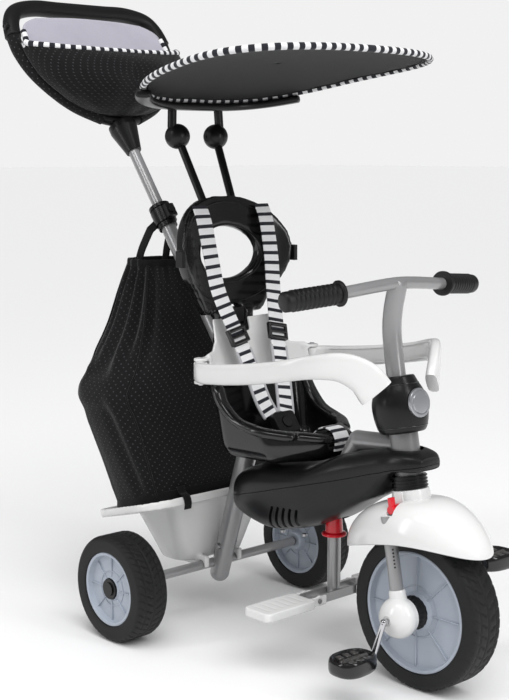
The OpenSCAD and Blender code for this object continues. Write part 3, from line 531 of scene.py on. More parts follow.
def cloth(name, colour, threads=1400.0, contrast=0.35, strength=0.35, pattern=None, **fixed):
    """Woven cloth. pattern is a function that gives a mask and the colour it paints."""
    mat, tree, shader = blank(name, **fixed)
    base = tuple(colour)
    if pattern:
        mask, paint = pattern(tree)
        base = blend_colour(tree, mask, tuple(colour), tuple(paint))
    g = placed_group(tree, "weave", Colour=base, Threads=threads, Contrast=contrast)
    tree.links.new(g.outputs["Colour"], shader.inputs["Base Color"])
    bump_from(tree, shader, g.outputs["Height"], strength, 0.0003)
    MATERIALS[name] = mat
    return mat


class TRIKE_OT_finishes(Operator):
    """Make every finish of the tricycle"""

    bl_idname = "trike.finishes"
    bl_label = "Finishes"

    def execute(self, context):
        make_groups()
        c, s = colours(), sizes()
        moulded("silver paint", c.tube, 0.30, 0.1, 2200, 0.05, shade=0.88, Metallic=0.4, Coat_Weight=0.7,
                Coat_Roughness=0.08)
        moulded("dark silver paint", [0.72 * v for v in c.tube], 0.36, 0.12, 2200, 0.06, shade=0.86,
                Metallic=0.35, Coat_Weight=0.3, Coat_Roughness=0.15)
        moulded("chrome", (0.62, 0.62, 0.64), 0.10, 0.08, 300, 0.02, shade=0.92, Metallic=1.0)
        moulded("zinc plate", (0.42, 0.42, 0.43), 0.32, 0.16, 500, 0.08, shade=0.75, Metallic=1.0)
        moulded("white moulding", c.white, 0.20, 0.10, 700, 0.03, shade=0.96, Coat_Weight=0.35,
                Coat_Roughness=0.08)
        moulded("black moulding", c.black, 0.30, 0.12, 1300, 0.08, shade=0.75, Specular_IOR_Level=0.28,
                Coat_Weight=0.06, Coat_Roughness=0.15)
        moulded("black gloss moulding", c.black, 0.17, 0.08, 900, 0.04, shade=0.8, Specular_IOR_Level=0.45,
                Coat_Weight=0.3, Coat_Roughness=0.06)
        moulded("black matt moulding", [1.4 * v for v in c.black], 0.5, 0.12, 1500, 0.14, shade=0.75,
                Specular_IOR_Level=0.3)
        moulded("red moulding", c.red, 0.24, 0.1, 800, 0.04, shade=0.9, Coat_Weight=0.3, Coat_Roughness=0.1)
        moulded("badge silver", c.silver, 0.30, 0.1, 1200, 0.05, shade=0.9, Metallic=0.75)
        moulded("wheel grey", c.rim, 0.36, 0.12, 1100, 0.08, shade=0.93, Coat_Weight=0.1, Coat_Roughness=0.25)
        moulded("tyre rubber", c.tyre, 0.62, 0.15, 1600, 0.3, 0.0003, shade=0.7, Specular_IOR_Level=0.35)
        moulded("grip rubber", [0.9 * v for v in c.black], 0.42, 0.14, 1900, 0.2, shade=0.7,
                Specular_IOR_Level=0.35)
        moulded("smoke plastic", (0.05, 0.048, 0.046), 0.22, 0.1, 800, 0.05, shade=0.8, Coat_Weight=0.4,
                Coat_Roughness=0.1)

        def dotted(tree):
            return placed_group(tree, "dots", Spacing=s.dot_spacing, Radius=0.08).outputs[0], c.dots

        def striped(tree):
            return placed_group(tree, "stripes", Repeat=s.stripe_period,
                                Dark_Share=0.36).outputs[0], c.stripe_dark

        def fine_striped(tree):
            return placed_group(tree, "stripes", Repeat=0.018, Dark_Share=0.5).outputs[0], c.stripe_dark

        cloth("dotted cloth", c.fabric, 900, 0.4, 0.5, dotted, Roughness=0.78, Sheen_Weight=0.14,
              Sheen_Roughness=0.4, Specular_IOR_Level=0.2)
        cloth("plain black cloth", c.fabric, 900, 0.4, 0.5, None, Roughness=0.82, Sheen_Weight=0.14,
              Sheen_Roughness=0.4, Specular_IOR_Level=0.2)
        cloth("lining cloth", c.lining, 1100, 0.18, 0.3, None, Roughness=0.85, Sheen_Weight=0.2,
              Sheen_Roughness=0.5)
        cloth("canopy cloth", c.canopy, 800, 0.4, 0.5, None, Roughness=0.8, Sheen_Weight=0.08,
              Sheen_Roughness=0.4, Specular_IOR_Level=0.2)
        cloth("striped webbing", c.stripe_light, 700, 0.22, 0.5, striped, Roughness=0.8, Sheen_Weight=0.1)
        cloth("striped piping", c.stripe_light, 900, 0.2, 0.4, fine_striped, Roughness=0.8, Sheen_Weight=0.1)
        cloth("grey binding", (0.45, 0.45, 0.47), 900, 0.25, 0.4, None, Roughness=0.85)
        return {"FINISHED"}


# ---------------------------------------------------------------- wheels
def tyre(name, centre, r, rim_r, w, body, node):
    """A foam tyre with rounded shoulders and slanted grooves."""
    s = sizes()
    half = w / 2
    outline = []
    for k in range(7):
        a = math.radians(90 * k / 6)
        outline.append((-half + 9 - 9 * math.cos(a), r - 9 + 9 * math.sin(a)))
    tread = [(-half + 9 + (w - 18) * k / 18, r) for k in range(1, 18)]
    mirror_side = [(-y, q) for y, q in reversed(outline)]
    profile = [(-half + 3, rim_r), (-half + 0.8, rim_r + 1.5), (-half, rim_r + 5),
               (-half + 0.4, (rim_r + r - 9) / 2)]
    profile = profile + outline + tread + mirror_side + [(-y, q) for y, q in reversed(profile)]

    def grooves(a, y, q):
        if q < r - 4:
            return q
        lane = abs(y) / half
        turn = (a / (2 * math.pi) * s.tread_count + lane * 1.3 + (0.5 if y > 0 else 0)) % 1.0
        deep = 0.0
        if 0.14 < lane < 0.97 and turn < 0.2:
            deep = s.tread_depth / MM
        if lane < 0.06 or abs(lane - 0.52) < 0.035:
            deep = s.tread_depth / MM * 0.8
        return q - deep

    place = pointing(centre, Vector((0, 1, 0)))
    obj = turned(name, place, profile, 8 * s.tread_count, grooves, hollow=True)
    return place_piece(obj, body, "tyre rubber", [node], sharp=42)


def wheel_face(name, centre, out, rim_r, w, hub_r, hub_end, cap_r):
    """One moulded face of a wheel: lip, dish, thin ribs and hub boss."""
    half = w / 2
    place = pointing(centre, Vector((0, out, 0)))
    floor = half - 12
    profile = [(half - 8, rim_r + 0.3), (half - 2.4, rim_r), (half - 1.6, rim_r - 1.2),
               (half - 1.6, rim_r - 3.6), (half - 2.6, rim_r - 5), (floor + 3, rim_r - 6.6),
               (floor + 0.6, rim_r - 7.6), (floor, rim_r - 10), (floor + 1.2, hub_r + 9), (floor + 2.2,
                       hub_r + 3), (floor + 5, hub_r + 0.8), (hub_end - 1.5, hub_r), (hub_end, hub_r - 1.5),
               (hub_end, cap_r), (hub_end - 3, 5.0), (hub_end - 3, 4.2), (floor - 3, 4.2), (floor - 3,
                       rim_r - 4)]
    parts = [turned(name + "_disc", place, profile, 96, hollow=True)]
    ribs = sizes().rim_ribs
    inner, outer = hub_r - 1, rim_r - 6.5
    for i in range(ribs):
        spin = Matrix.Rotation(2 * math.pi * i / ribs, 4, "Z")
        spot = place @ spin @ Matrix.Translation(Vector(((inner + outer) / 2 * MM, 0, (floor + 1.6) * MM)))
        parts.append(block(name + "_rib", spot, (outer - inner, 1.7, 3.4), 0.6))
    ring = [(floor + 0.3, hub_r + 13), (floor + 2.4, hub_r + 12.4), (floor + 2.4, hub_r + 11.2),
            (floor + 0.3, hub_r + 10.6)]
    parts.append(turned(name + "_ring", place, ring, 72, hollow=True))
    return parts


class TRIKE_OT_wheels(Operator):
    """Build the tyres and the ribbed wheel faces"""

    bl_idname = "trike.wheels"
    bl_label = "Wheels"

    def execute(self, context):
        for side, sign in (("right", -1), ("left", 1)):
            lo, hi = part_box(f"{side}_rear_tyre")
            centre, body = (lo + hi) / 2, f"{side}_rear_wheel"
            r, w = (hi.z - lo.z) / 2 / MM, (hi.y - lo.y) / MM
            rim_r = (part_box(f"{side}_rear_rim")[1].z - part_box(f"{side}_rear_rim")[0].z) / 2 / MM
            tyre(f"{side}_rear_tyre_foam", centre, r, rim_r, w, body, f"{side}_rear_tyre")
            parts = wheel_face("outer", centre, sign, rim_r, w, 17, 20, 9) + wheel_face("inner", centre,
                    -sign, rim_r, w, 17, 32, 9)
            obj = joined(f"{side}_rear_wheel_faces", parts)
            place_piece(obj, body, "wheel grey", [f"{side}_rear_rim"], sharp=40)
        lo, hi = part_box("front_tyre")
        centre, r, w = (lo + hi) / 2, (hi.z - lo.z) / 2 / MM, (hi.y - lo.y) / MM
        rim_r = (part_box("front_rim")[1].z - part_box("front_rim")[0].z) / 2 / MM
        tyre("front_tyre_foam", centre, r, rim_r, w, "front_wheel", "front_tyre")
        parts = wheel_face("near", centre, -1, rim_r, w, 27, 26, 12) + wheel_face("far", centre, 1, rim_r, w,
                27, 26, 12)
        place_piece(joined("front_wheel_faces", parts), "front_wheel", "wheel grey",
                    ["front_rim"], sharp=40)
        hubs = []
        for sign in (-1, 1):
            place = pointing(centre, Vector((0, sign, 0)))
            hubs.append(turned("hub", place, [(19, 25.5), (29, 25.5), (31, 23.5), (34, 22.5), (40, 21.5),
                                              (43, 19.5), (43.6, 14), (43.6, 5)], 72,
                               lambda a, z, q: q - (0.9 if q > 20 and (a * 18 / (2 * math.pi)) % 1 < 0.3 and 24 < z < 42 else 0)))
        place_piece(joined("front_clutch_hubs", hubs), "front_wheel", "black matt moulding",
                    sharp=35)
        return {"FINISHED"}


# ---------------------------------------------------------------- fork, fender, steering
class TRIKE_OT_fender(Operator):
    """Build the white front fender over the fork"""

    bl_idname = "trike.fender"
    bl_label = "Front fender"

    def execute(self, context):
        place, n = steer_frame(), 96
        rings = []
        for k in range(30):
            t = 1 - k / 29
            g = math.sin(math.pi / 2 * t)
            a, b = 29 + (128 - 29) * g, 29 + (72 - 29) * g ** 0.8
            s = 150 - 56 * (1 - math.cos(math.pi / 2 * t))
            ring = []
            for i in range(n):
                c, q = math.cos(2 * math.pi * i / n), math.sin(2 * math.pi * i / n)
                ring.append(place @ Vector((a * c * MM, b * q * MM,
                                            (s + 15 - g * g * (32 if c > 0 else 14) * c * c) * MM)))
            if k == 0:
                middle = place @ Vector((0, 0, 0.09))
                rings.append([p + (middle - p).normalized() * 0.0035 - (place.to_3x3() @ Vector((0, 0,
                        0.0006))) for p in ring])
            rings.append(ring)
        for z, r in ((170, 28.6), (176, 28.4), (179, 27.4), (179, 24)):
            rings.append([place @ Vector((r * math.cos(2 * math.pi * i / n) * MM,
                                          r * math.sin(2 * math.pi * i / n) * MM, z * MM)) for i in range(n)])
        obj = skin("front_fender_shell", rings, caps=False)
        thicken(obj, 0.0034)
        slot = block("slot", place @ Matrix.Translation(Vector((6, -52, 163)) * MM), (13, 40, 29), 2)
        cut(obj, slot)
        place_piece(obj, "steering", "white moulding", ["front_fender"], sharp=50)
        pocket = block("lock_pocket", place @ Matrix.Translation(Vector((6, -34.5, 163)) * MM), (17, 2, 33),
                       0.8)
        place_piece(pocket, "steering", "white moulding", sharp=40)
        return {"FINISHED"}


class TRIKE_OT_steering(Operator):
    """Build the steering cover, the grips and the hub covers"""

    bl_idname = "trike.steering"
    bl_label = "Steering pieces"

    def execute(self, context):
        place = steer_frame()
        outline = [[263, 21.5], [263, 30], [265, 34], [272, 37.5], [285, 40.5], [300, 42], [312, 41],
                   [324, 37], [335, 31.5], [343, 28], [346, 26.5], [347, 24], [347, 15.2]]
        body = turned("steering_cover_shell", place, flow(outline, 4), 96)
        seat = turned("seat",
                      place @ Matrix.Translation(Vector((0.034, 0, 0.305))) @ Matrix.Rotation(math.pi / 2, 4,
                "Y"), [(0, 0.1), (0, 22.4), (14, 22.4), (14, 0.1)], 72)
        cut(body, seat)
        place_piece(body, "steering", "black moulding", ["steering_cover"], sharp=38)
        seams = []
        for z, r in ((272, 37.6), (335, 31.7)):
            seams.append(turned("seam", place, [(z - 1, r - 0.6), (z - 0.7, r + 0.45), (z + 0.7, r + 0.3),
                                                (z + 1, r - 0.6)], 96))
        place_piece(joined("steering_cover_seams", seams), "steering",
                    "black gloss moulding")
        face = place @ Matrix.Translation(Vector((0.036, 0, 0.305))) @ Matrix.Rotation(math.pi / 2, 4, "Y")
        badge = turned("steering_badge_disc", face,
                       [(0, 21.8), (3.6, 21.8), (4.8, 20.8), (5, 18.2), (4.2, 17.6), (4.2, 16.6),
                        (6.0, 15.6), (6.4, 12), (6.5, 0.2)], 96)
        place_piece(badge, "steering", "badge silver", ["steering_badge"], sharp=35)

        knee, end = Vector((393, 109, 588)), Vector((373, 207, 580))
        grips = []
        for sign in (-1, 1):
            a, b = at(knee.x, sign * knee.y, knee.z), at(end.x, sign * end.y, end.z)
            length = (b - a).length / MM
            profile = [(2, 9.4), (2, 18), (3.5, 19), (6.5, 19), (8, 17.6), (8.6, 14.6)]
            z = 12.0
            while z < length - 14:
                profile += [(z, 14.4), (z + 1, 15.6), (z + 4.4, 15.8), (z + 5.6, 14.5)]
                z += 7.6
            profile += [(length - 8, 14.8), (length - 3, 14.6), (length - 0.8, 13), (length, 10),
                        (length, 0.3)]
            grips.append(turned("grip", pointing(a, b - a), profile, 48))
        place_piece(joined("handlebar_grip_sleeves", grips), "steering", "grip rubber",
                    ["handlebar_grips"], sharp=45)

        balls = []
        for sign in (-1, 1):
            profile = [(47, 26.8), (50, 27.6)] + [(62 + 24 * math.sin(math.radians(k)),
                                                   30.5 * math.cos(math.radians(k))) for k in range(-20, 80,
                    8)] + [(86, 7.5), (85, 6.4)]
            lower = turned("ball", place @ Matrix.Rotation(-sign * math.pi / 2, 4, "X"), profile, 72)
            balls.append(lower)
            balls.append(turned("band", place @ Matrix.Translation(Vector((0, sign * 0.057, 0))),
                                [(18, 14.5), (24, 13.5), (33, 12.6), (38, 12.2), (40, 11.4), (40, 10.2)], 48))
        place_piece(joined("front_hub_covers", balls), "steering", "white moulding",
                    ["hub_covers"], sharp=42)
        self.handlebar()
        marks = []
        for k in range(6):
            spot = place @ Matrix.Translation(Vector((0, -0.057,
                                                      (74 + 5.2 * k) * MM))) @ Matrix.Rotation(math.radians(-38), 4, "Z")
            marks.append(turned("mark",
                                pointing(spot @ Vector((0.00985, 0, 0)),
                                         (spot.to_3x3() @ Vector((1, 0, 0)))),
                                         [(0, 0.2), (0, 1.5), (0.35, 1.2), (0.35, 0.2)], 16))
        place_piece(joined("fork_stamped_marks", marks), "steering", "black matt moulding")
        return {"FINISHED"}

    def handlebar(self):
        """The stem's gentle bend and the bar, welded in a T"""
        line = mm_path([[412.6, 0, 397], [401, 0, 457.9], [394.5, 0, 496], [391, 0, 530], [393.5, 0, 560],
                        [399.5, 0, 586], [402, 0, 601]], 8)
        rings = []
        for i, p in enumerate(line):
            t = (line[min(i + 1, len(line) - 1)] - line[max(i - 1, 0)]).normalized()
            side = t.cross(Vector((1, 0, 0.2))).normalized()
            top = side.cross(t)
            k = max(0.0, (i - len(line) + 13) / 12)
            a, b = 0.0145 * (1 + 0.16 * k * k), 0.0145 * (1 - 0.3 * k * k)
            rings.append([p + side * x * a + top * y * b for x, y in circle(1.0, 40)])
        parts = [skin("stem", rings)]
        half = [[402, 0, 596], [399.5, 40, 594], [393, 100, 588.5], [384, 150, 584], [373, 206, 580]]
        full = [[x, -y, z] for x, y, z in half[::-1]] + half[1:]
        parts.append(skin("bar", rings_along(mm_path(full, 8), circle(0.0092, 28), Vector((1, 0, 0.1)))))
        place_piece(joined("handlebar_tubes", parts), "steering", "silver paint",
                    ["handlebar"], sharp=50)


class TRIKE_OT_pedals(Operator):
    """Build the moulded pedals with their smoky treads"""

    bl_idname = "trike.pedals"
    bl_label = "Pedals"

    def execute(self, context):
        for side, sign in (("right", -1), ("left", 1)):
            lo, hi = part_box(f"{side}_pedal")
            mid = (lo + hi) / 2
            hx, hy, hz = ((hi - lo) / 2 / MM)[:]
            mid, hx, hy = mid + Vector((0, sign * 4 * MM, 0)), hx * 1.09, hy + 4

            def outline(scale, z, dish=0.0):
                ring = []
                for i in range(72):
                    a = 2 * math.pi * i / 72
                    u, v = signed_power(math.cos(a), 0.78), signed_power(math.sin(a), 0.78)
                    narrow = 1 - 0.17 * (1 - v * sign) / 2
                    ring.append(mid + Vector((hx * u * scale * narrow, hy * v * scale,
                                              z + dish * u * u)) * MM)
                return ring

            rows = [(0.80, -hz + 1), (0.90, -hz), (0.97, -hz + 2), (1.0, -hz + 7), (1.0, hz - 9),
                    (0.985, hz - 4), (0.95, hz - 1), (0.90, hz), (0.85, hz - 1), (0.80, hz - 3.5),
                    (0.3, hz - 4.5)]
            body = skin(f"{side}_pedal_body", [outline(k, z, 1.5 if z > 0 else 0) for k, z in rows])
            cut(body, block("notch", Matrix.Translation(mid + Vector((0, -sign * hy * MM, 0))), (11, 12, 16),
                            3))
            place_piece(body, f"{side}_pedal", "black gloss moulding", [f"{side}_pedal"],
                        sharp=60)
            spine = pointing(mid + Vector((0, -sign * (hy - 9) * MM, (hz - 6) * MM)), Vector((0, sign, 0)))
            pads = [turned("spine", spine, [(0, 3), (1, 4.6), (2 * hy - 22, 5.4), (2 * hy - 20, 3)], 24)]
            for off in (-13, 13):
                for k in range(3):
                    spot = Matrix.Translation(mid + Vector((off * MM, (k - 1) * 0.015, (hz - 3) * MM)))
                    pads.append(block("pad", spot @ Matrix.Rotation(math.radians(12 * off / 13), 4, "Z"),
                                      (12, 10, 5), 2))
            place_piece(joined(f"{side}_pedal_treads", pads), f"{side}_pedal",
                        "smoke plastic", sharp=40)
        return {"FINISHED"}


# ---------------------------------------------------------------- body
BODY_ROWS = [
    [96, 40, 262, 234, 226], [104, 58, 270, 235, 214], [120, 70, 279, 238, 203], [150, 78, 290, 246, 194],
    [190, 81, 299, 257, 188], [235, 79, 301, 270, 197], [265, 76, 305, 278, 207], [290, 71, 317, 285, 218],
    [320, 64, 332, 293, 236], [355, 55, 342, 303, 259], [390, 48, 350, 314, 279], [408, 45, 353, 319, 300],
    [430, 43, 355, 326, 321], [455, 35, 352, 331, 323], [470, 21, 346, 334, 327]]


def body_half(name, upper):
    rings = []
    for x, w, top, line, low in flow(BODY_ROWS, 5):
        edge = line + (0.45 if upper else -0.45)
        tip = top if upper else low
        outline = []
        for i in range(49):
            a = math.pi * i / 48
            outline.append(at(x, w * signed_power(math.cos(a), 0.62),
                              edge + (tip - edge) * signed_power(math.sin(a), 0.62)))
        flat = [at(x, -w + 2 * w * k / 8, edge) for k in range(1, 8)]
        rings.append(outline + flat)
    return skin(name, rings)


class TRIKE_OT_body(Operator):
    """Build the two halves of the black body with their vents"""

    bl_idname = "trike.body"
    bl_label = "Body covers"

    def execute(self, context):
        upper = body_half("upper_body_shell", True)
        hole = Matrix.Translation(FRONT) @ Matrix.Rotation(math.radians(-LEAN), 4, "Y")
        cut(upper, turned("throat", hole, [(150, 0.1), (150, 27.4), (300, 27.4), (300, 0.1)], 64))
        place_piece(upper, "frame", "black moulding", ["upper_body_cover"], sharp=50)
        lower = body_half("lower_body_shell", False)
        cut(lower, turned("throat", hole, [(150, 0.1), (150, 27.4), (300, 27.4), (300, 0.1)], 64))
        well = turned("well", Matrix.Translation(at(276, 0, 150)), [(0, 0.1), (0, 24), (80, 24), (80, 0.1)],
                      48)
        cut(lower, well)
        for i in range(5):
            for sign in (-1, 1):
                tilt = Matrix.Rotation(math.radians(24), 4, "Y")
                spot = Matrix.Translation(at(208 + 12.5 * i, sign * 72, 217 + 1.6 * i)) @ tilt
                cut(lower, block("vent", spot, (4.6, 40, 48 - 2.4 * i), 2.0))
        place_piece(lower, "frame", "black moulding", ["lower_body_cover"], sharp=50)
        return {"FINISHED"}


# ---------------------------------------------------------------- seat
RIM_LINE = [(40, 438), (60, 430), (86, 421), (108, 412), (118, 396), (130, 382), (150, 369), (190, 358),
            (240, 351), (330, 346)]


def rim_outline(node, height, tolerance=0.0006):
    """The outer edge of a node where it lies within a little of a height that depends on x."""
    pts = [v.co.copy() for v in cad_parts[node].data.vertices if abs(v.co.z - height(v.co.x)) < tolerance]
    centre = sum(pts, Vector()) / len(pts)
    best = {}
    for p in pts:
        k = round(math.atan2(p.y - centre.y, p.x - centre.x) * 36 / math.pi)
        if k not in best or (p - centre).length > (best[k] - centre).length:
            best[k] = p
    return [best[k] for k in sorted(best)], centre


def rim_height(x):
    """Height of the bucket's rim at a place along the tricycle."""
    u = (x - AXLE_X) / MM
    for (x0, z0), (x1, z1) in zip(RIM_LINE, RIM_LINE[1:]):
        if u <= x1:
            return (z0 + (z1 - z0) * (u - x0) / (x1 - x0)) * MM
    return RIM_LINE[-1][1] * MM


def closed_tube(name, loop, section, up, steps=3):
    """A tube round a closed line of points."""
    n = len(loop)
    path = []
    for i in range(n):
        a, b, c, d = (loop[(i + k) % n] for k in (-1, 0, 1, 2))
        for j in range(steps):
            t = j / steps
            path.append(0.5 * ((2 * b) + (c - a) * t + (2 * a - 5 * b + 4 * c - d) * t * t + (3 * b - a - 3 * c + d) * t ** 3))
    m = len(path)
    rings = []
    for i in range(m + 1):
        p = path[i % m]
        t = (path[(i + 1) % m] - path[(i - 1) % m]).normalized()
        side = t.cross(up).normalized()
        top = side.cross(t)
        rings.append([p + side * x + top * y for x, y in section])
    return skin(name, rings, caps=False)


class TRIKE_OT_seat(Operator):
    """Build the bucket, its rolled rim, the back shell and the headrest"""

    bl_idname = "trike.seat"
    bl_label = "Seat"

    def execute(self, context):
        bucket = softened("seat_bucket_shell", "seat_bucket", 0.0024, 16, 0.45)
        place_piece(bucket, "frame", "black gloss moulding", ["seat_bucket"])
        loop, centre = rim_outline("seat_bucket", rim_height)
        loop = [Vector((centre.x + (p.x - centre.x) * 0.965, p.y * 0.945, p.z - 0.002)) for p in loop]
        roll = closed_tube("seat_bucket_rim", loop, rounded_section(0.0115, 0.0075, 2.2, 20),
                           Vector((0.2, 0, 0.98)))
        place_piece(roll, "frame", "black gloss moulding")
        shell = softened("seat_back_moulding", "seat_back_shell", 0.0019, 4, 0.5)
        place_piece(shell, "frame", "white moulding", ["seat_back_shell"])
        head = softened("headrest_moulding", "headrest", 0.0026, 26, 0.5)
        place_piece(head, "frame", "black gloss moulding", ["headrest"])
        beads = []
        for rx, rz in ((69, 47.5), (108, 83)):
            loop = []
            for i in range(48):
                a = 2 * math.pi * i / 48
                y, z = rx * math.cos(a), 622 + rz * math.sin(a) - (2 if rx < 80 else 0)
                back = 250 - math.sqrt(250 ** 2 - y * y)
                x = 24.2 + back - (z - 622) * math.tan(math.radians(6))
                loop.append(at(x, y, z))
            beads.append(closed_tube("bead", loop, circle(0.0016, 8), Vector((1, 0, 0)), 1))
        place_piece(joined("headrest_beads", beads), "frame", "black moulding")
        return {"FINISHED"}


ARM_LINE = [[100, 124, 444], [118, 141, 445], [150, 149, 447], [220, 153, 455], [300, 149, 468],
            [355, 132, 480],
            [388, 104, 482], [408, 78, 468], [418, 62, 446]]


class TRIKE_OT_arms(Operator):
    """Build the two white arms of the safety ring"""

    bl_idname = "trike.arms"
    bl_label = "Safety ring arms"

    def execute(self, context):
        for side, sign in (("left", 1), ("right", -1)):
            path = [at(x, sign * y, z) for x, y, z in flow(ARM_LINE, 7)]
            rings = []
            for i, p in enumerate(path):
                t = (path[min(i + 1, len(path) - 1)] - path[max(i - 1, 0)]).normalized()
                wide = t.cross(Vector((0, 0, 1))).normalized()
                k = max(0.0, (i - 28) / (len(path) - 29))
                flare = k * k * (3 - 2 * k)
                rings.append([p + wide * x + wide.cross(t) * y - Vector((0, 0, 0.004 * flare)) for x,
                              y in rounded_section(0.009, 0.016 + 0.011 * flare, 3.4, 32)])
            closing = [[p.lerp(path[-1] - Vector((0, 0, 0.004)),
                               k) + (path[-1] - path[-2]).normalized() * 0.003 * k for p in rings[-1]] for k in (0.12, 0.5)]
            parts = [skin("arm", rings + closing)]
            parts.append(turned("barrel", Matrix.Translation(at(100, sign * 124, 0)),
                                [(429.6, 4.2), (429.6, 10), (431, 11), (456.4, 11), (457.9, 10),
                                 (457.9, 4.2)], 48))
            for off in (-0.0118, 0.0118):
                line = [p + Vector((0, 0, off)) + (p - path[max(i - 1, 0)]).cross(Vector((0, 0,
                        1))).normalized() * 0.0088 * sign
                        for i, p in enumerate(path) if 8 < i < len(path) - 12]
                parts.append(skin("crease", rings_along(line, circle(0.0008, 6), Vector((0, 0, 1)))))
            obj = joined(f"{side}_arm_moulding", parts)
            place_piece(obj, f"{side}_arm", "white moulding", [f"{side}_arm"], sharp=45)
        return {"FINISHED"}


# ---------------------------------------------------------------- harness
STRAP_LINE = [[33, 68, 700], [46, 68, 672], [60, 66, 615], [72, 60, 560], [98, 44, 492], [120, 33, 437],
              [136, 25, 392], [148, 17, 366]]
CROTCH_LINE = [[176, 0, 337], [205, 0, 329], [235, 0, 343], [258, 0, 360], [280, 0, 360], [291, 0, 347],
               [289, 0, 328]]


def webbing(name, line, width, thick, up):
    return skin(name, rings_along(line, rounded_section(width / 2, thick / 2, 5, 20), up))


def edge_cords(name, line, width, up, r):
    """Soft bindings along both edges of a strap."""
    parts = []
    for s in (-1, 1):
        rail = []
        for i, p in enumerate(line):
            t = (line[min(i + 1, len(line) - 1)] - line[max(i - 1, 0)]).normalized()
            rail.append(p + t.cross(up).normalized() * s * width / 2)
        parts.append(skin("cord", round_ends(rail, circle(r, 12), up, r)))
    return joined(name, parts)


class TRIKE_OT_harness(Operator):
    """Build the striped webbing, its bindings and the buckle"""

    bl_idname = "trike.harness"
    bl_label = "Harness"

    def execute(self, context):
        width = sizes().strap_width
        up = Vector((1, 0, 0.4)).normalized()
        for side, sign in (("left", 1), ("right", -1)):
            line = [at(x, sign * y, z) for x, y, z in flow(STRAP_LINE, 10)]
            strap = webbing(f"{side}_shoulder_strap", line, width, 0.0028, up)
            place_piece(strap, "frame", "striped webbing",
                        ["shoulder_straps"] if sign < 0 else [], sharp=60)
            lower = line[44:]
            bind = edge_cords(f"{side}_strap_binding", lower, width, up, 0.0026)
            place_piece(bind, "frame", "grey binding")
            mid, step = line[40], (line[43] - line[37]).normalized()
            across = step.cross(up).normalized()
            out = across.cross(step) if across.cross(step).x > 0 else step.cross(across)
            bars = []
            for s in (-1, 1):
                bars.append(skin("rail",
                                 round_ends([mid + across * s * 0.017 + step * k * 0.0125 + out * 0.001 for k in (-1, -0.5, 0, 0.5, 1)], rounded_section(0.0028, 0.0045, 3, 16), out, 0.002)))
            for k, r in ((-1, 0.0032), (0.05, 0.0026), (1, 0.0032)):
                bars.append(skin("bar",
                                 round_ends([mid + step * k * 0.011 + out * 0.0036 + across * s * 0.017 for s in (-1, -0.5, 0, 0.5, 1)], circle(r, 16), step, 0.001)))
            obj = joined(f"{side}_strap_adjuster", bars)
            place_piece(obj, "frame", "black gloss moulding",
                        ["strap_adjusters"] if sign < 0 else [])
        line = mm_path(CROTCH_LINE, 10)
        strap = webbing("crotch_strap_webbing", line, width, 0.0028, Vector((0.02, 0, 1)).normalized())
        place_piece(strap, "frame", "striped webbing", ["crotch_strap"], sharp=60)
        buckle = softened("harness_buckle_body", "buckle", 0.0011, 3, 0.6)
        lo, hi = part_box("buckle_button")
        well_r, press = (hi.y - lo.y) / 2 / MM + 0.6, Vector((-0.81915, 0, -0.57358))
        cut(buckle, turned("well", pointing((lo + hi) / 2, press),
                           [(-8, 0.1), (-8, well_r), (6.5, well_r), (6.5, 0.1)], 40))
        place_piece(buckle, "frame", "black moulding", ["buckle"])
        return {"FINISHED"}


# ---------------------------------------------------------------- footrest
class TRIKE_OT_footrest(Operator):
    """Build the ribbed foot plates"""

    bl_idname = "trike.footrest"
    bl_label = "Footrest"

    def execute(self, context):
        for side in ("left", "right"):
            node = f"{side}_foot_plate"
            obj = softened(f"{side}_foot_plate_moulding", node, 0.0016, 9, 0.5)
            place_piece(obj, node, "white moulding", [node])
        return {"FINISHED"}


# ---------------------------------------------------------------- tray and bag
BAG_ROWS = [[196, -138, 12, 148, 0.268], [243, -152, 10, 160, 0.15], [300, -172, 0, 172, 0.05],
            [350, -188, -8, 184, 0],
            [385, -200, -14, 192, 0], [430, -204, -20, 168, 0], [490, -208, -52, 120, 0], [545, -210, -86,
                    84, 0], [594, -208, -120, 54, 0]]
# each crease: angle at the top, angle at the bottom, heights of its ends, width in degrees, depth
BAG_CREASES = [(300, 296, 592, 400, 7, 10), (281, 284, 592, 440, 7, 12), (262, 268, 592, 425, 8, 13),
               (242, 246, 592, 450, 7, 11), (222, 226, 592, 430, 8, 9),
               (300, 306, 360, 205, 7, 6), (262, 250, 380, 215, 8, 6), (222, 214, 330, 220, 10, 4), (60, 85,
                       590, 420, 8, 9), (98, 96, 592, 430, 8, 11),
               (125, 120, 592, 440, 8, 9), (150, 150, 590, 430, 8, 7), (100, 105, 370, 220, 8, 5), (12, -8,
                       590, 330, 9, 8), (334, 330, 592, 420, 8, 9)]


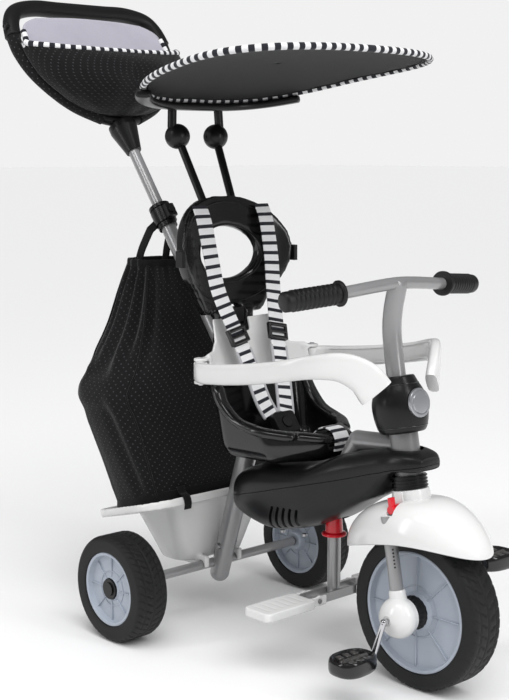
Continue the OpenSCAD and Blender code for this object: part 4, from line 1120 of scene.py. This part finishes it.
def bag_point(row, a, lift=0.0):
    """A point of the bag's wall, a in radians from straight back, with its folds."""
    z, back, front, w, slope = row
    high = min(1.0, max(0.0, (z - 385) / 200))
    power = 0.70 + 0.14 * high
    mid, c, q = (back + front) / 2, math.cos(a), math.sin(a)
    x = mid - (front - back) / 2 * signed_power(c, power)
    y = w * signed_power(q, power)
    push = -3.5 + lift + 1.1 * high * math.sin(21 * a + z / 29) + 1.4 * math.sin(z / 37 + 2.4 * math.sin(2 * a)) * (1 - high)
    for top, low, z1, z0, width, depth in BAG_CREASES:
        t = (z1 - z) / (z1 - z0)
        if -0.1 < t < 1.1:
            off = (math.degrees(a) - (top + (low - top) * t) + 180) % 360 - 180
            fade = min(1.0, 4 * max(0.0, t + 0.1), 4 * max(0.0, 1.1 - t))
            push += fade * depth * (0.7 * math.exp(-((off + 1.3 * width) / width) ** 2) - math.exp(-((off / width) ** 2)))
    waist = math.exp(-((z - 388) / 20) ** 2)
    push += 5.0 * waist * abs(math.sin(2 * a)) ** 3 - 2.4 * math.exp(-((z - 430) / 16) ** 2) * abs(q)
    push += 1.5 * math.exp(-((z - 405) / 40) ** 2) * math.sin(z / 4.6 + 3 * a) * max(0.0, abs(q) - 0.4)
    scale = math.hypot(x - mid, y)
    return at(x + push * (x - mid) / scale, y + push * y / scale, z + slope * (x - mid))


class TRIKE_OT_bag(Operator):
    """Build the tray and the dotted bag that stands in it"""

    bl_idname = "trike.bag"
    bl_label = "Tray and bag"

    def execute(self, context):
        tray = softened("storage_tray_moulding", "storage_tray", 0.0026, 4, 0.4)
        place_piece(tray, "frame", "white moulding", ["storage_tray"])
        rows, n = flow(BAG_ROWS, 12), 216
        rings = [[bag_point(r, 2 * math.pi * i / n + math.pi / 2) for i in range(n)] for r in rows]
        bag = skin("storage_bag_cloth", rings, caps=False)
        thicken(bag, sizes().cloth_thickness)
        place_piece(bag, "frame", "dotted cloth", ["storage_bag"])
        seams = []
        for a in (math.radians(48), math.radians(128), math.radians(232), math.radians(312)):
            line = [bag_point(r, a, 0.9) for r in rows[2:]]
            seams.append(skin("seam", round_ends(line, circle(0.0016, 8), Vector((1, 0.2, 0)), 0.002)))
        hem = [bag_point(rows[-1], 2 * math.pi * i / 60, 0.5) for i in range(60)]
        seams.append(closed_tube("hem", hem, rounded_section(0.0022, 0.008, 3, 12), Vector((0, 0, 1)), 1))
        foot = [bag_point(rows[2], 2 * math.pi * i / 90, 0.8) for i in range(90)]
        seams.append(closed_tube("foot", foot, rounded_section(0.0016, 0.011, 3, 12), Vector((0, 0, 1)), 1))
        place_piece(joined("storage_bag_seams", seams), "frame", "plain black cloth")
        straps = []
        for s in (-1, 1):
            line = mm_path([[-181, s * 32, 582], [-176, s * 30, 600], [-170, s * 28, 618],
                            [-161, s * 25, 637], [-154, s * 22, 652]], 8)
            clamp = sum(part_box("pole_clamp"), Vector()) / 2
            line += [line[-1].lerp(clamp, k) for k in (0.25, 0.5)]
            straps.append(webbing("strap", line, 0.018, 0.0026, Vector((0, 1, 0))))
        place_piece(joined("storage_bag_straps", straps), "frame", "plain black cloth",
                    ["bag_straps"])
        tab_line = mm_path([[9, -92, 236], [13, -92, 226], [20, -92, 223], [25.5, -92, 219],
                            [28.5, -92, 210], [27, -92, 200]], 4)
        tab = webbing("storage_bag_tab", tab_line, 0.015, 0.0022, Vector((0.9, 0, 0.4)).normalized())
        place_piece(tab, "frame", "plain black cloth")
        return {"FINISHED"}


# ---------------------------------------------------------------- push handle
def loop_x(z):
    return -262 - 0.6 * (z - 838)


def loop_at(y, z, out=0.0):
    return (loop_x(z) + out, y, z)


LOOP_HALF = [(0, 841), (40, 846), (86, 866), (122, 893), (150, 925), (164, 958), (166, 990), (154, 1019)]
GRIP_HALF = [(166, 985), (159, 1012), (141, 1031), (100, 1040), (50, 1040), (0, 1040)]
POUCH_ROWS = [[856, 30, 62], [868, 48, 90], [888, 66, 120], [914, 84, 146], [944, 90, 160], [974, 84, 166]]


def pouch_ring(row, inset, n=132):
    """One level of the pouch: a flat back and a bulging, slightly folded front."""
    z, depth, w = row
    w, depth = w - 1.5 * inset, depth - 2 * inset
    back = 17 - 13 * min(1.0, max(0.0, (886 - z) / 30))
    out = []
    for i in range(n):
        a = 2 * math.pi * (i + 0.5) / n
        c, q = math.cos(a), signed_power(math.sin(a), 0.9)
        bulge = depth * max(c, 0) ** 0.8
        fold = (1.3 * math.sin(13 * a + z / 19) + 1.2 * math.sin(5 * a - z / 11) - 2.2) * min(1.0,
                3 * max(c, 0))
        sag = 12.0 * max(c, 0) * max(0.0, (z - 930) / 44) ** 2
        out.append(at(loop_x(z) + back + inset + bulge + fold, -w * q, z - sag))
    return out


class TRIKE_OT_handle(Operator):
    """Build the handle loop, its grip and the cloth pouch"""

    bl_idname = "trike.handle"
    bl_label = "Push handle"

    def execute(self, context):
        half = [loop_at(y, z) for y, z in LOOP_HALF]
        full = [(x, -y, z) for x, y, z in half[::-1]] + half[1:]
        frame_tube = skin("handle_loop_tube",
                          rings_along(mm_path(full, 7), circle(0.010, 24), Vector((1, 0, 0.6))))
        place_piece(frame_tube, "push_handle", "black moulding", ["handle_frame"], sharp=50)
        half = [loop_at(y, z) for y, z in GRIP_HALF]
        full = [(x, -y, z) for x, y, z in half] + half[-2::-1]
        path = mm_path(full, 7)
        grip = skin("handle_grip_sleeve", round_ends(path, circle(0.0145, 28), Vector((1, 0, 0.6)), 0.002))
        seam = skin("seam", rings_along([p + Vector((0.6, 0, 1)).normalized() * 0.0143 for p in path[3:-3]],
                                        circle(0.0007, 6), Vector((1, 0, 0))))
        obj = joined("handle_grip_moulding", [grip, seam])
        place_piece(obj, "push_handle", "grip rubber", ["handle_grip"])
        knob = turned("handle_corner_knob", pointing(at(*loop_at(-166, 1000)), Vector((0.5, -1, 0.2))),
                      [(8, 6), (15, 6), (17, 5), (18, 2.5), (18, 0.2)], 32)
        place_piece(knob, "push_handle", "black moulding", sharp=40)
        self.pouch()
        return {"FINISHED"}

    def pouch(self):
        rows = flow(POUCH_ROWS, 8)
        rings = [pouch_ring(r, 0) for r in rows]
        tube = [at(loop_x(848) + 1, p.y / MM * 0.9, 848 + (p.y / 0.062) ** 2 * 6) for p in rings[0]]
        closing = [[p.lerp(q, k) for p, q in zip(rings[0], tube)] for k in (0.97, 0.75, 0.45, 0.2)]
        outer = skin("handle_pouch_cloth", closing + rings, caps=False)
        thicken(outer, sizes().cloth_thickness)
        place_piece(outer, "push_handle", "dotted cloth", ["handle_pouch"])
        inner = skin("handle_pouch_lining", [pouch_ring(r, 2.2) for r in rows[12:]], caps=False)
        thicken(inner, 0.0008)
        place_piece(inner, "push_handle", "lining cloth")
        panel, left, right = [], [], []
        for k in range(21):
            z = 958 + 67 * k / 20
            w = 156 - 6 * k / 20 - 34 * max(0.0, (k - 12) / 8) ** 2.5
            line = [at(loop_x(z) + 18.6 + 1.3 * math.sin(7 * u + k / 5), w * u,
                       z - 5 * u * u * (k / 20)) for u in (j / 25 - 1 for j in range(51))]
            panel.append(line)
            left.append(line[0])
            right.append(line[-1])
        back = skin("handle_pouch_back_panel", panel, closed=False, caps=False)
        thicken(back, 0.0016, 0.0)
        place_piece(back, "push_handle", "lining cloth")
        top = rings[-1]
        front = [p for i, p in enumerate(top) if math.cos(2 * math.pi * (i + 0.5) / len(top)) > 0.05]
        front.sort(key=lambda p: p.y)
        edge = left[12::-3] + front[::2] + right[:13:3]
        path = [Vector(p) for p in flow([p[:] for p in edge], 3)]
        piping = skin("handle_pouch_piping",
                      round_ends(path, circle(sizes().piping_radius, 12), Vector((1, 0, 0.3)), 0.002))
        place_piece(piping, "push_handle", "striped piping")
        sleeves = []
        for s in (-1, 1):
            path = mm_path([loop_at(s * y, z) for y, z in [(38, 846), (86, 866), (122, 893), (150, 925),
                                                           (164, 958), (166, 984)]], 8)
            sleeves.append(skin("sleeve", round_ends(path, circle(0.0122, 24), Vector((1, 0, 0.6)), 0.001)))
        sleeve = joined("handle_pouch_sleeves", sleeves)
        place_piece(sleeve, "push_handle", "dotted cloth")


# ---------------------------------------------------------------- canopy
def canopy_xy(a, k):
    u, w = signed_power(math.cos(a), 0.7), signed_power(math.sin(a), 0.7)
    return 143.5 + 197 * k * u, 210 * k * w * (1 + 0.16 * k * u)


def canopy_z(x, y):
    u, w = (x - 143.5) / 197, y / 210
    return 915.5 + 32 * u - 11 * u * u - 4 * w * w + 10 * max(0.0, 1 - u * u - w * w)


class TRIKE_OT_canopy(Operator):
    """Build the canopy cloth, its striped piping and the bracket"""

    bl_idname = "trike.canopy"
    bl_label = "Canopy"

    def execute(self, context):
        n = 144
        rings = []
        for j in range(26):
            k = 0.01 + 0.985 * j / 25
            ring = []
            for i in range(n):
                x, y = canopy_xy(2 * math.pi * i / n, k)
                pucker = 0.9 * math.sin(24 * 2 * math.pi * i / n) * max(0.0, (k - 0.8) / 0.2) ** 2
                ring.append(at(x, y, canopy_z(x, y) + pucker))
            rings.append(ring)
        sheet = skin("canopy_cloth", rings, caps=False)
        for loop, corner in zip(sheet.data.uv_layers["metres"].data, sheet.data.loops):
            co = sheet.data.vertices[corner.vertex_index].co
            loop.uv = (co.y, co.x)
        thicken(sheet, 0.0022, 0.0)
        place_piece(sheet, "canopy", "canopy cloth", ["canopy_top"])
        edge = [at(*canopy_xy(2 * math.pi * i / 120, 1.0),
                   canopy_z(*canopy_xy(2 * math.pi * i / 120, 1.0))) for i in range(120)]
        piping = closed_tube("canopy_piping", edge, circle(sizes().piping_radius, 14), Vector((0, 0, 1)), 2)
        place_piece(piping, "canopy", "striped piping")
        hems = []
        for k, drop in ((0.955, -1.6), (0.955, 1.6)):
            line = [at(*canopy_xy(2 * math.pi * i / 120, k),
                       canopy_z(*canopy_xy(2 * math.pi * i / 120, k)) + drop) for i in range(120)]
            hems.append(closed_tube("hem", line, circle(0.0009, 6), Vector((0, 0, 1)), 1))
        place_piece(joined("canopy_hem_stitching", hems), "canopy", "plain black cloth")
        line = []
        for k in range(59):
            x, y = canopy_xy(math.radians(122 + 2 * k), 1)
            line.append(at(x, y, canopy_z(x, y) - 11))
        bracket = skin("canopy_bracket_moulding", round_ends(line, rounded_section(0.0128, 0.0068, 3.2, 24),
                Vector((0, 0, 1)), 0.004))
        place_piece(bracket, "canopy", "black moulding", ["canopy_bracket"], sharp=55)
        return {"FINISHED"}


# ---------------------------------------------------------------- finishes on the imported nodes
NODE_FINISHES = {
    "silver paint": "rear_frame_tube top_frame_tube rear_axle_tube footrest_post footrest_bracket lower_push_pole upper_push_pole handlebar fork",
    "dark silver paint": "head_tube",
    "chrome": "crankset arm_pivot_pins",
    "zinc plate": "rear_axle frame_screws",
    "black moulding": "collar_ring axle_caps belt_anchors strap_adjusters pole_clamp canopy_poles headrest_latch handle_cone canopy_arms",
    "black matt moulding": "buckle_button clamp_button",
    "red moulding": "release_collar steering_lock_lever",
}


class TRIKE_OT_node_finishes(Operator):
    """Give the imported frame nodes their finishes"""

    bl_idname = "trike.node_finishes"
    bl_label = "Frame finishes"

    def execute(self, context):
        for finish, nodes in NODE_FINISHES.items():
            for node in nodes.split():
                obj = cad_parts[node]
                if not obj.material_slots:
                    obj.data.materials.append(MATERIALS[finish])
                for slot in obj.material_slots:
                    slot.material = MATERIALS[finish]
        return {"FINISHED"}


# ---------------------------------------------------------------- stage
def soft_light(name, spot, target, size, power):
    data = bpy.data.lights.new(name, "AREA")
    data.shape, data.size, data.size_y, data.energy = "RECTANGLE", size[0], size[1], power
    obj = bpy.data.objects.new(name, data)
    bpy.context.scene.collection.objects.link(obj)
    obj.location = spot
    obj.rotation_mode = "QUATERNION"
    obj.rotation_quaternion = (Vector(target) - Vector(spot)).to_track_quat("-Z", "Y")
    return obj


class TRIKE_OT_stage(Operator):
    """Build the pale floor, the lights and the camera"""

    bl_idname = "trike.stage"
    bl_label = "Stage"

    def execute(self, context):
        scene = context.scene
        mat, tree, shader = blank("pale floor", Roughness=0.9)
        shader.inputs["Base Color"].default_value = (0.80, 0.80, 0.80, 1)
        shader.inputs["Specular IOR Level"].default_value = 0.0
        size = 60.0
        mesh = bpy.data.meshes.new("floor")
        mesh.from_pydata([(-size, -size, 0), (size, -size, 0), (size, size, 0), (-size, size, 0)], [],
                         [(0, 1, 2, 3)])
        mesh.materials.append(mat)
        floor = new_object("floor", mesh)
        floor.location.z = -0.0004
        world = bpy.data.worlds.new("studio")
        scene.world = world
        world.use_nodes = True
        tree = world.node_tree
        seen = tree.nodes["Background"]
        seen.inputs["Color"].default_value = (0.88, 0.88, 0.88, 1)
        soft = tree.nodes.new("ShaderNodeBackground")
        soft.inputs["Color"].default_value = (0.40, 0.40, 0.405, 1)
        dim = tree.nodes.new("ShaderNodeBackground")
        dim.inputs["Color"].default_value = (0.20, 0.20, 0.203, 1)
        ray, mix, both = tree.nodes.new("ShaderNodeLightPath"), tree.nodes.new("ShaderNodeMixShader"), tree.nodes.new("ShaderNodeMixShader")
        tree.links.new(ray.outputs["Is Glossy Ray"], both.inputs[0])
        tree.links.new(soft.outputs[0], both.inputs[1])
        tree.links.new(dim.outputs[0], both.inputs[2])
        tree.links.new(ray.outputs["Is Camera Ray"], mix.inputs[0])
        tree.links.new(both.outputs[0], mix.inputs[1])
        tree.links.new(seen.outputs[0], mix.inputs[2])
        tree.links.new(mix.outputs[0], tree.nodes["World Output"].inputs["Surface"])
        for name, direction, spread, power in (("overhead sun", (-0.25, 0.1, -1), 70, 1.27),
                                               ("key sun", (-0.75, 0.35, -0.9), 40, 1.16)):
            data = bpy.data.lights.new(name, "SUN")
            data.energy, data.angle = power, math.radians(spread)
            sun = bpy.data.objects.new(name, data)
            scene.collection.objects.link(sun)
            sun.rotation_mode = "QUATERNION"
            sun.rotation_quaternion = Vector(direction).to_track_quat("-Z", "Y")
            sun.visible_glossy = False
        soft_light("right strip", (1.9, 0.2, 1.5), (0.0, 0.0, 0.4), (0.35, 1.8), 11)
        soft_light("left strip", (-0.6, -2.2, 1.5), (0.0, 0.0, 0.45), (0.35, 1.8), 11)
        soft_light("top strip", (0.5, -0.9, 2.4), (0.0, 0.0, 0.4), (1.4, 0.4), 9)
        data = bpy.data.cameras.new("camera")
        cam = bpy.data.objects.new("camera", data)
        scene.collection.objects.link(cam)
        data.sensor_width, data.sensor_fit, data.lens = 36.0, "AUTO", 71.23
        data.clip_start, data.clip_end = 0.05, 100.0
        cam.location = (1.750 + AXLE_X, -1.525, 0.786)
        cam.rotation_mode = "QUATERNION"
        cam.rotation_quaternion = Vector((-0.729, 0.670, -0.1414)).to_track_quat("-Z", "Y")
        scene.camera = cam
        scene.view_settings.view_transform = "Standard"
        return {"FINISHED"}


class TRIKE_PT_sidebar(Panel):
    """Lists the pieces of the tricycle with their sizes and colours"""

    bl_idname = "TRIKE_PT_sidebar"
    bl_label = "Push Tricycle"
    bl_space_type = "VIEW_3D"
    bl_region_type = "UI"
    bl_category = "Tricycle"

    def draw(self, context):
        for group in (context.scene.trike_sizes, context.scene.trike_colours):
            box = self.layout.box()
            for name in group.bl_rna.properties.keys():
                if name not in {"rna_type", "name"}:
                    box.prop(group, name)
        for op in PIECES:
            self.layout.operator(op.bl_idname, text=op.bl_label)


PIECES = (
    TRIKE_OT_finishes, TRIKE_OT_stage, TRIKE_OT_wheels, TRIKE_OT_fender, TRIKE_OT_steering, TRIKE_OT_pedals, TRIKE_OT_body, TRIKE_OT_seat,
    TRIKE_OT_arms, TRIKE_OT_harness, TRIKE_OT_footrest, TRIKE_OT_bag, TRIKE_OT_handle, TRIKE_OT_canopy, TRIKE_OT_node_finishes,
)
CLASSES = (TrikeSizes, TrikeColours, *PIECES, TRIKE_PT_sidebar)


def register():
    for c in CLASSES:
        bpy.utils.register_class(c)
    bpy.types.Scene.trike_sizes = PointerProperty(type=TrikeSizes)
    bpy.types.Scene.trike_colours = PointerProperty(type=TrikeColours)


def unregister():
    del bpy.types.Scene.trike_colours
    del bpy.types.Scene.trike_sizes
    for c in reversed(CLASSES):
        bpy.utils.unregister_class(c)


def main():
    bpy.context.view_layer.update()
    register()
    for op in PIECES:
        getattr(bpy.ops.trike, op.bl_idname.split(".")[1])()


if __name__ == "__main__":
    main()
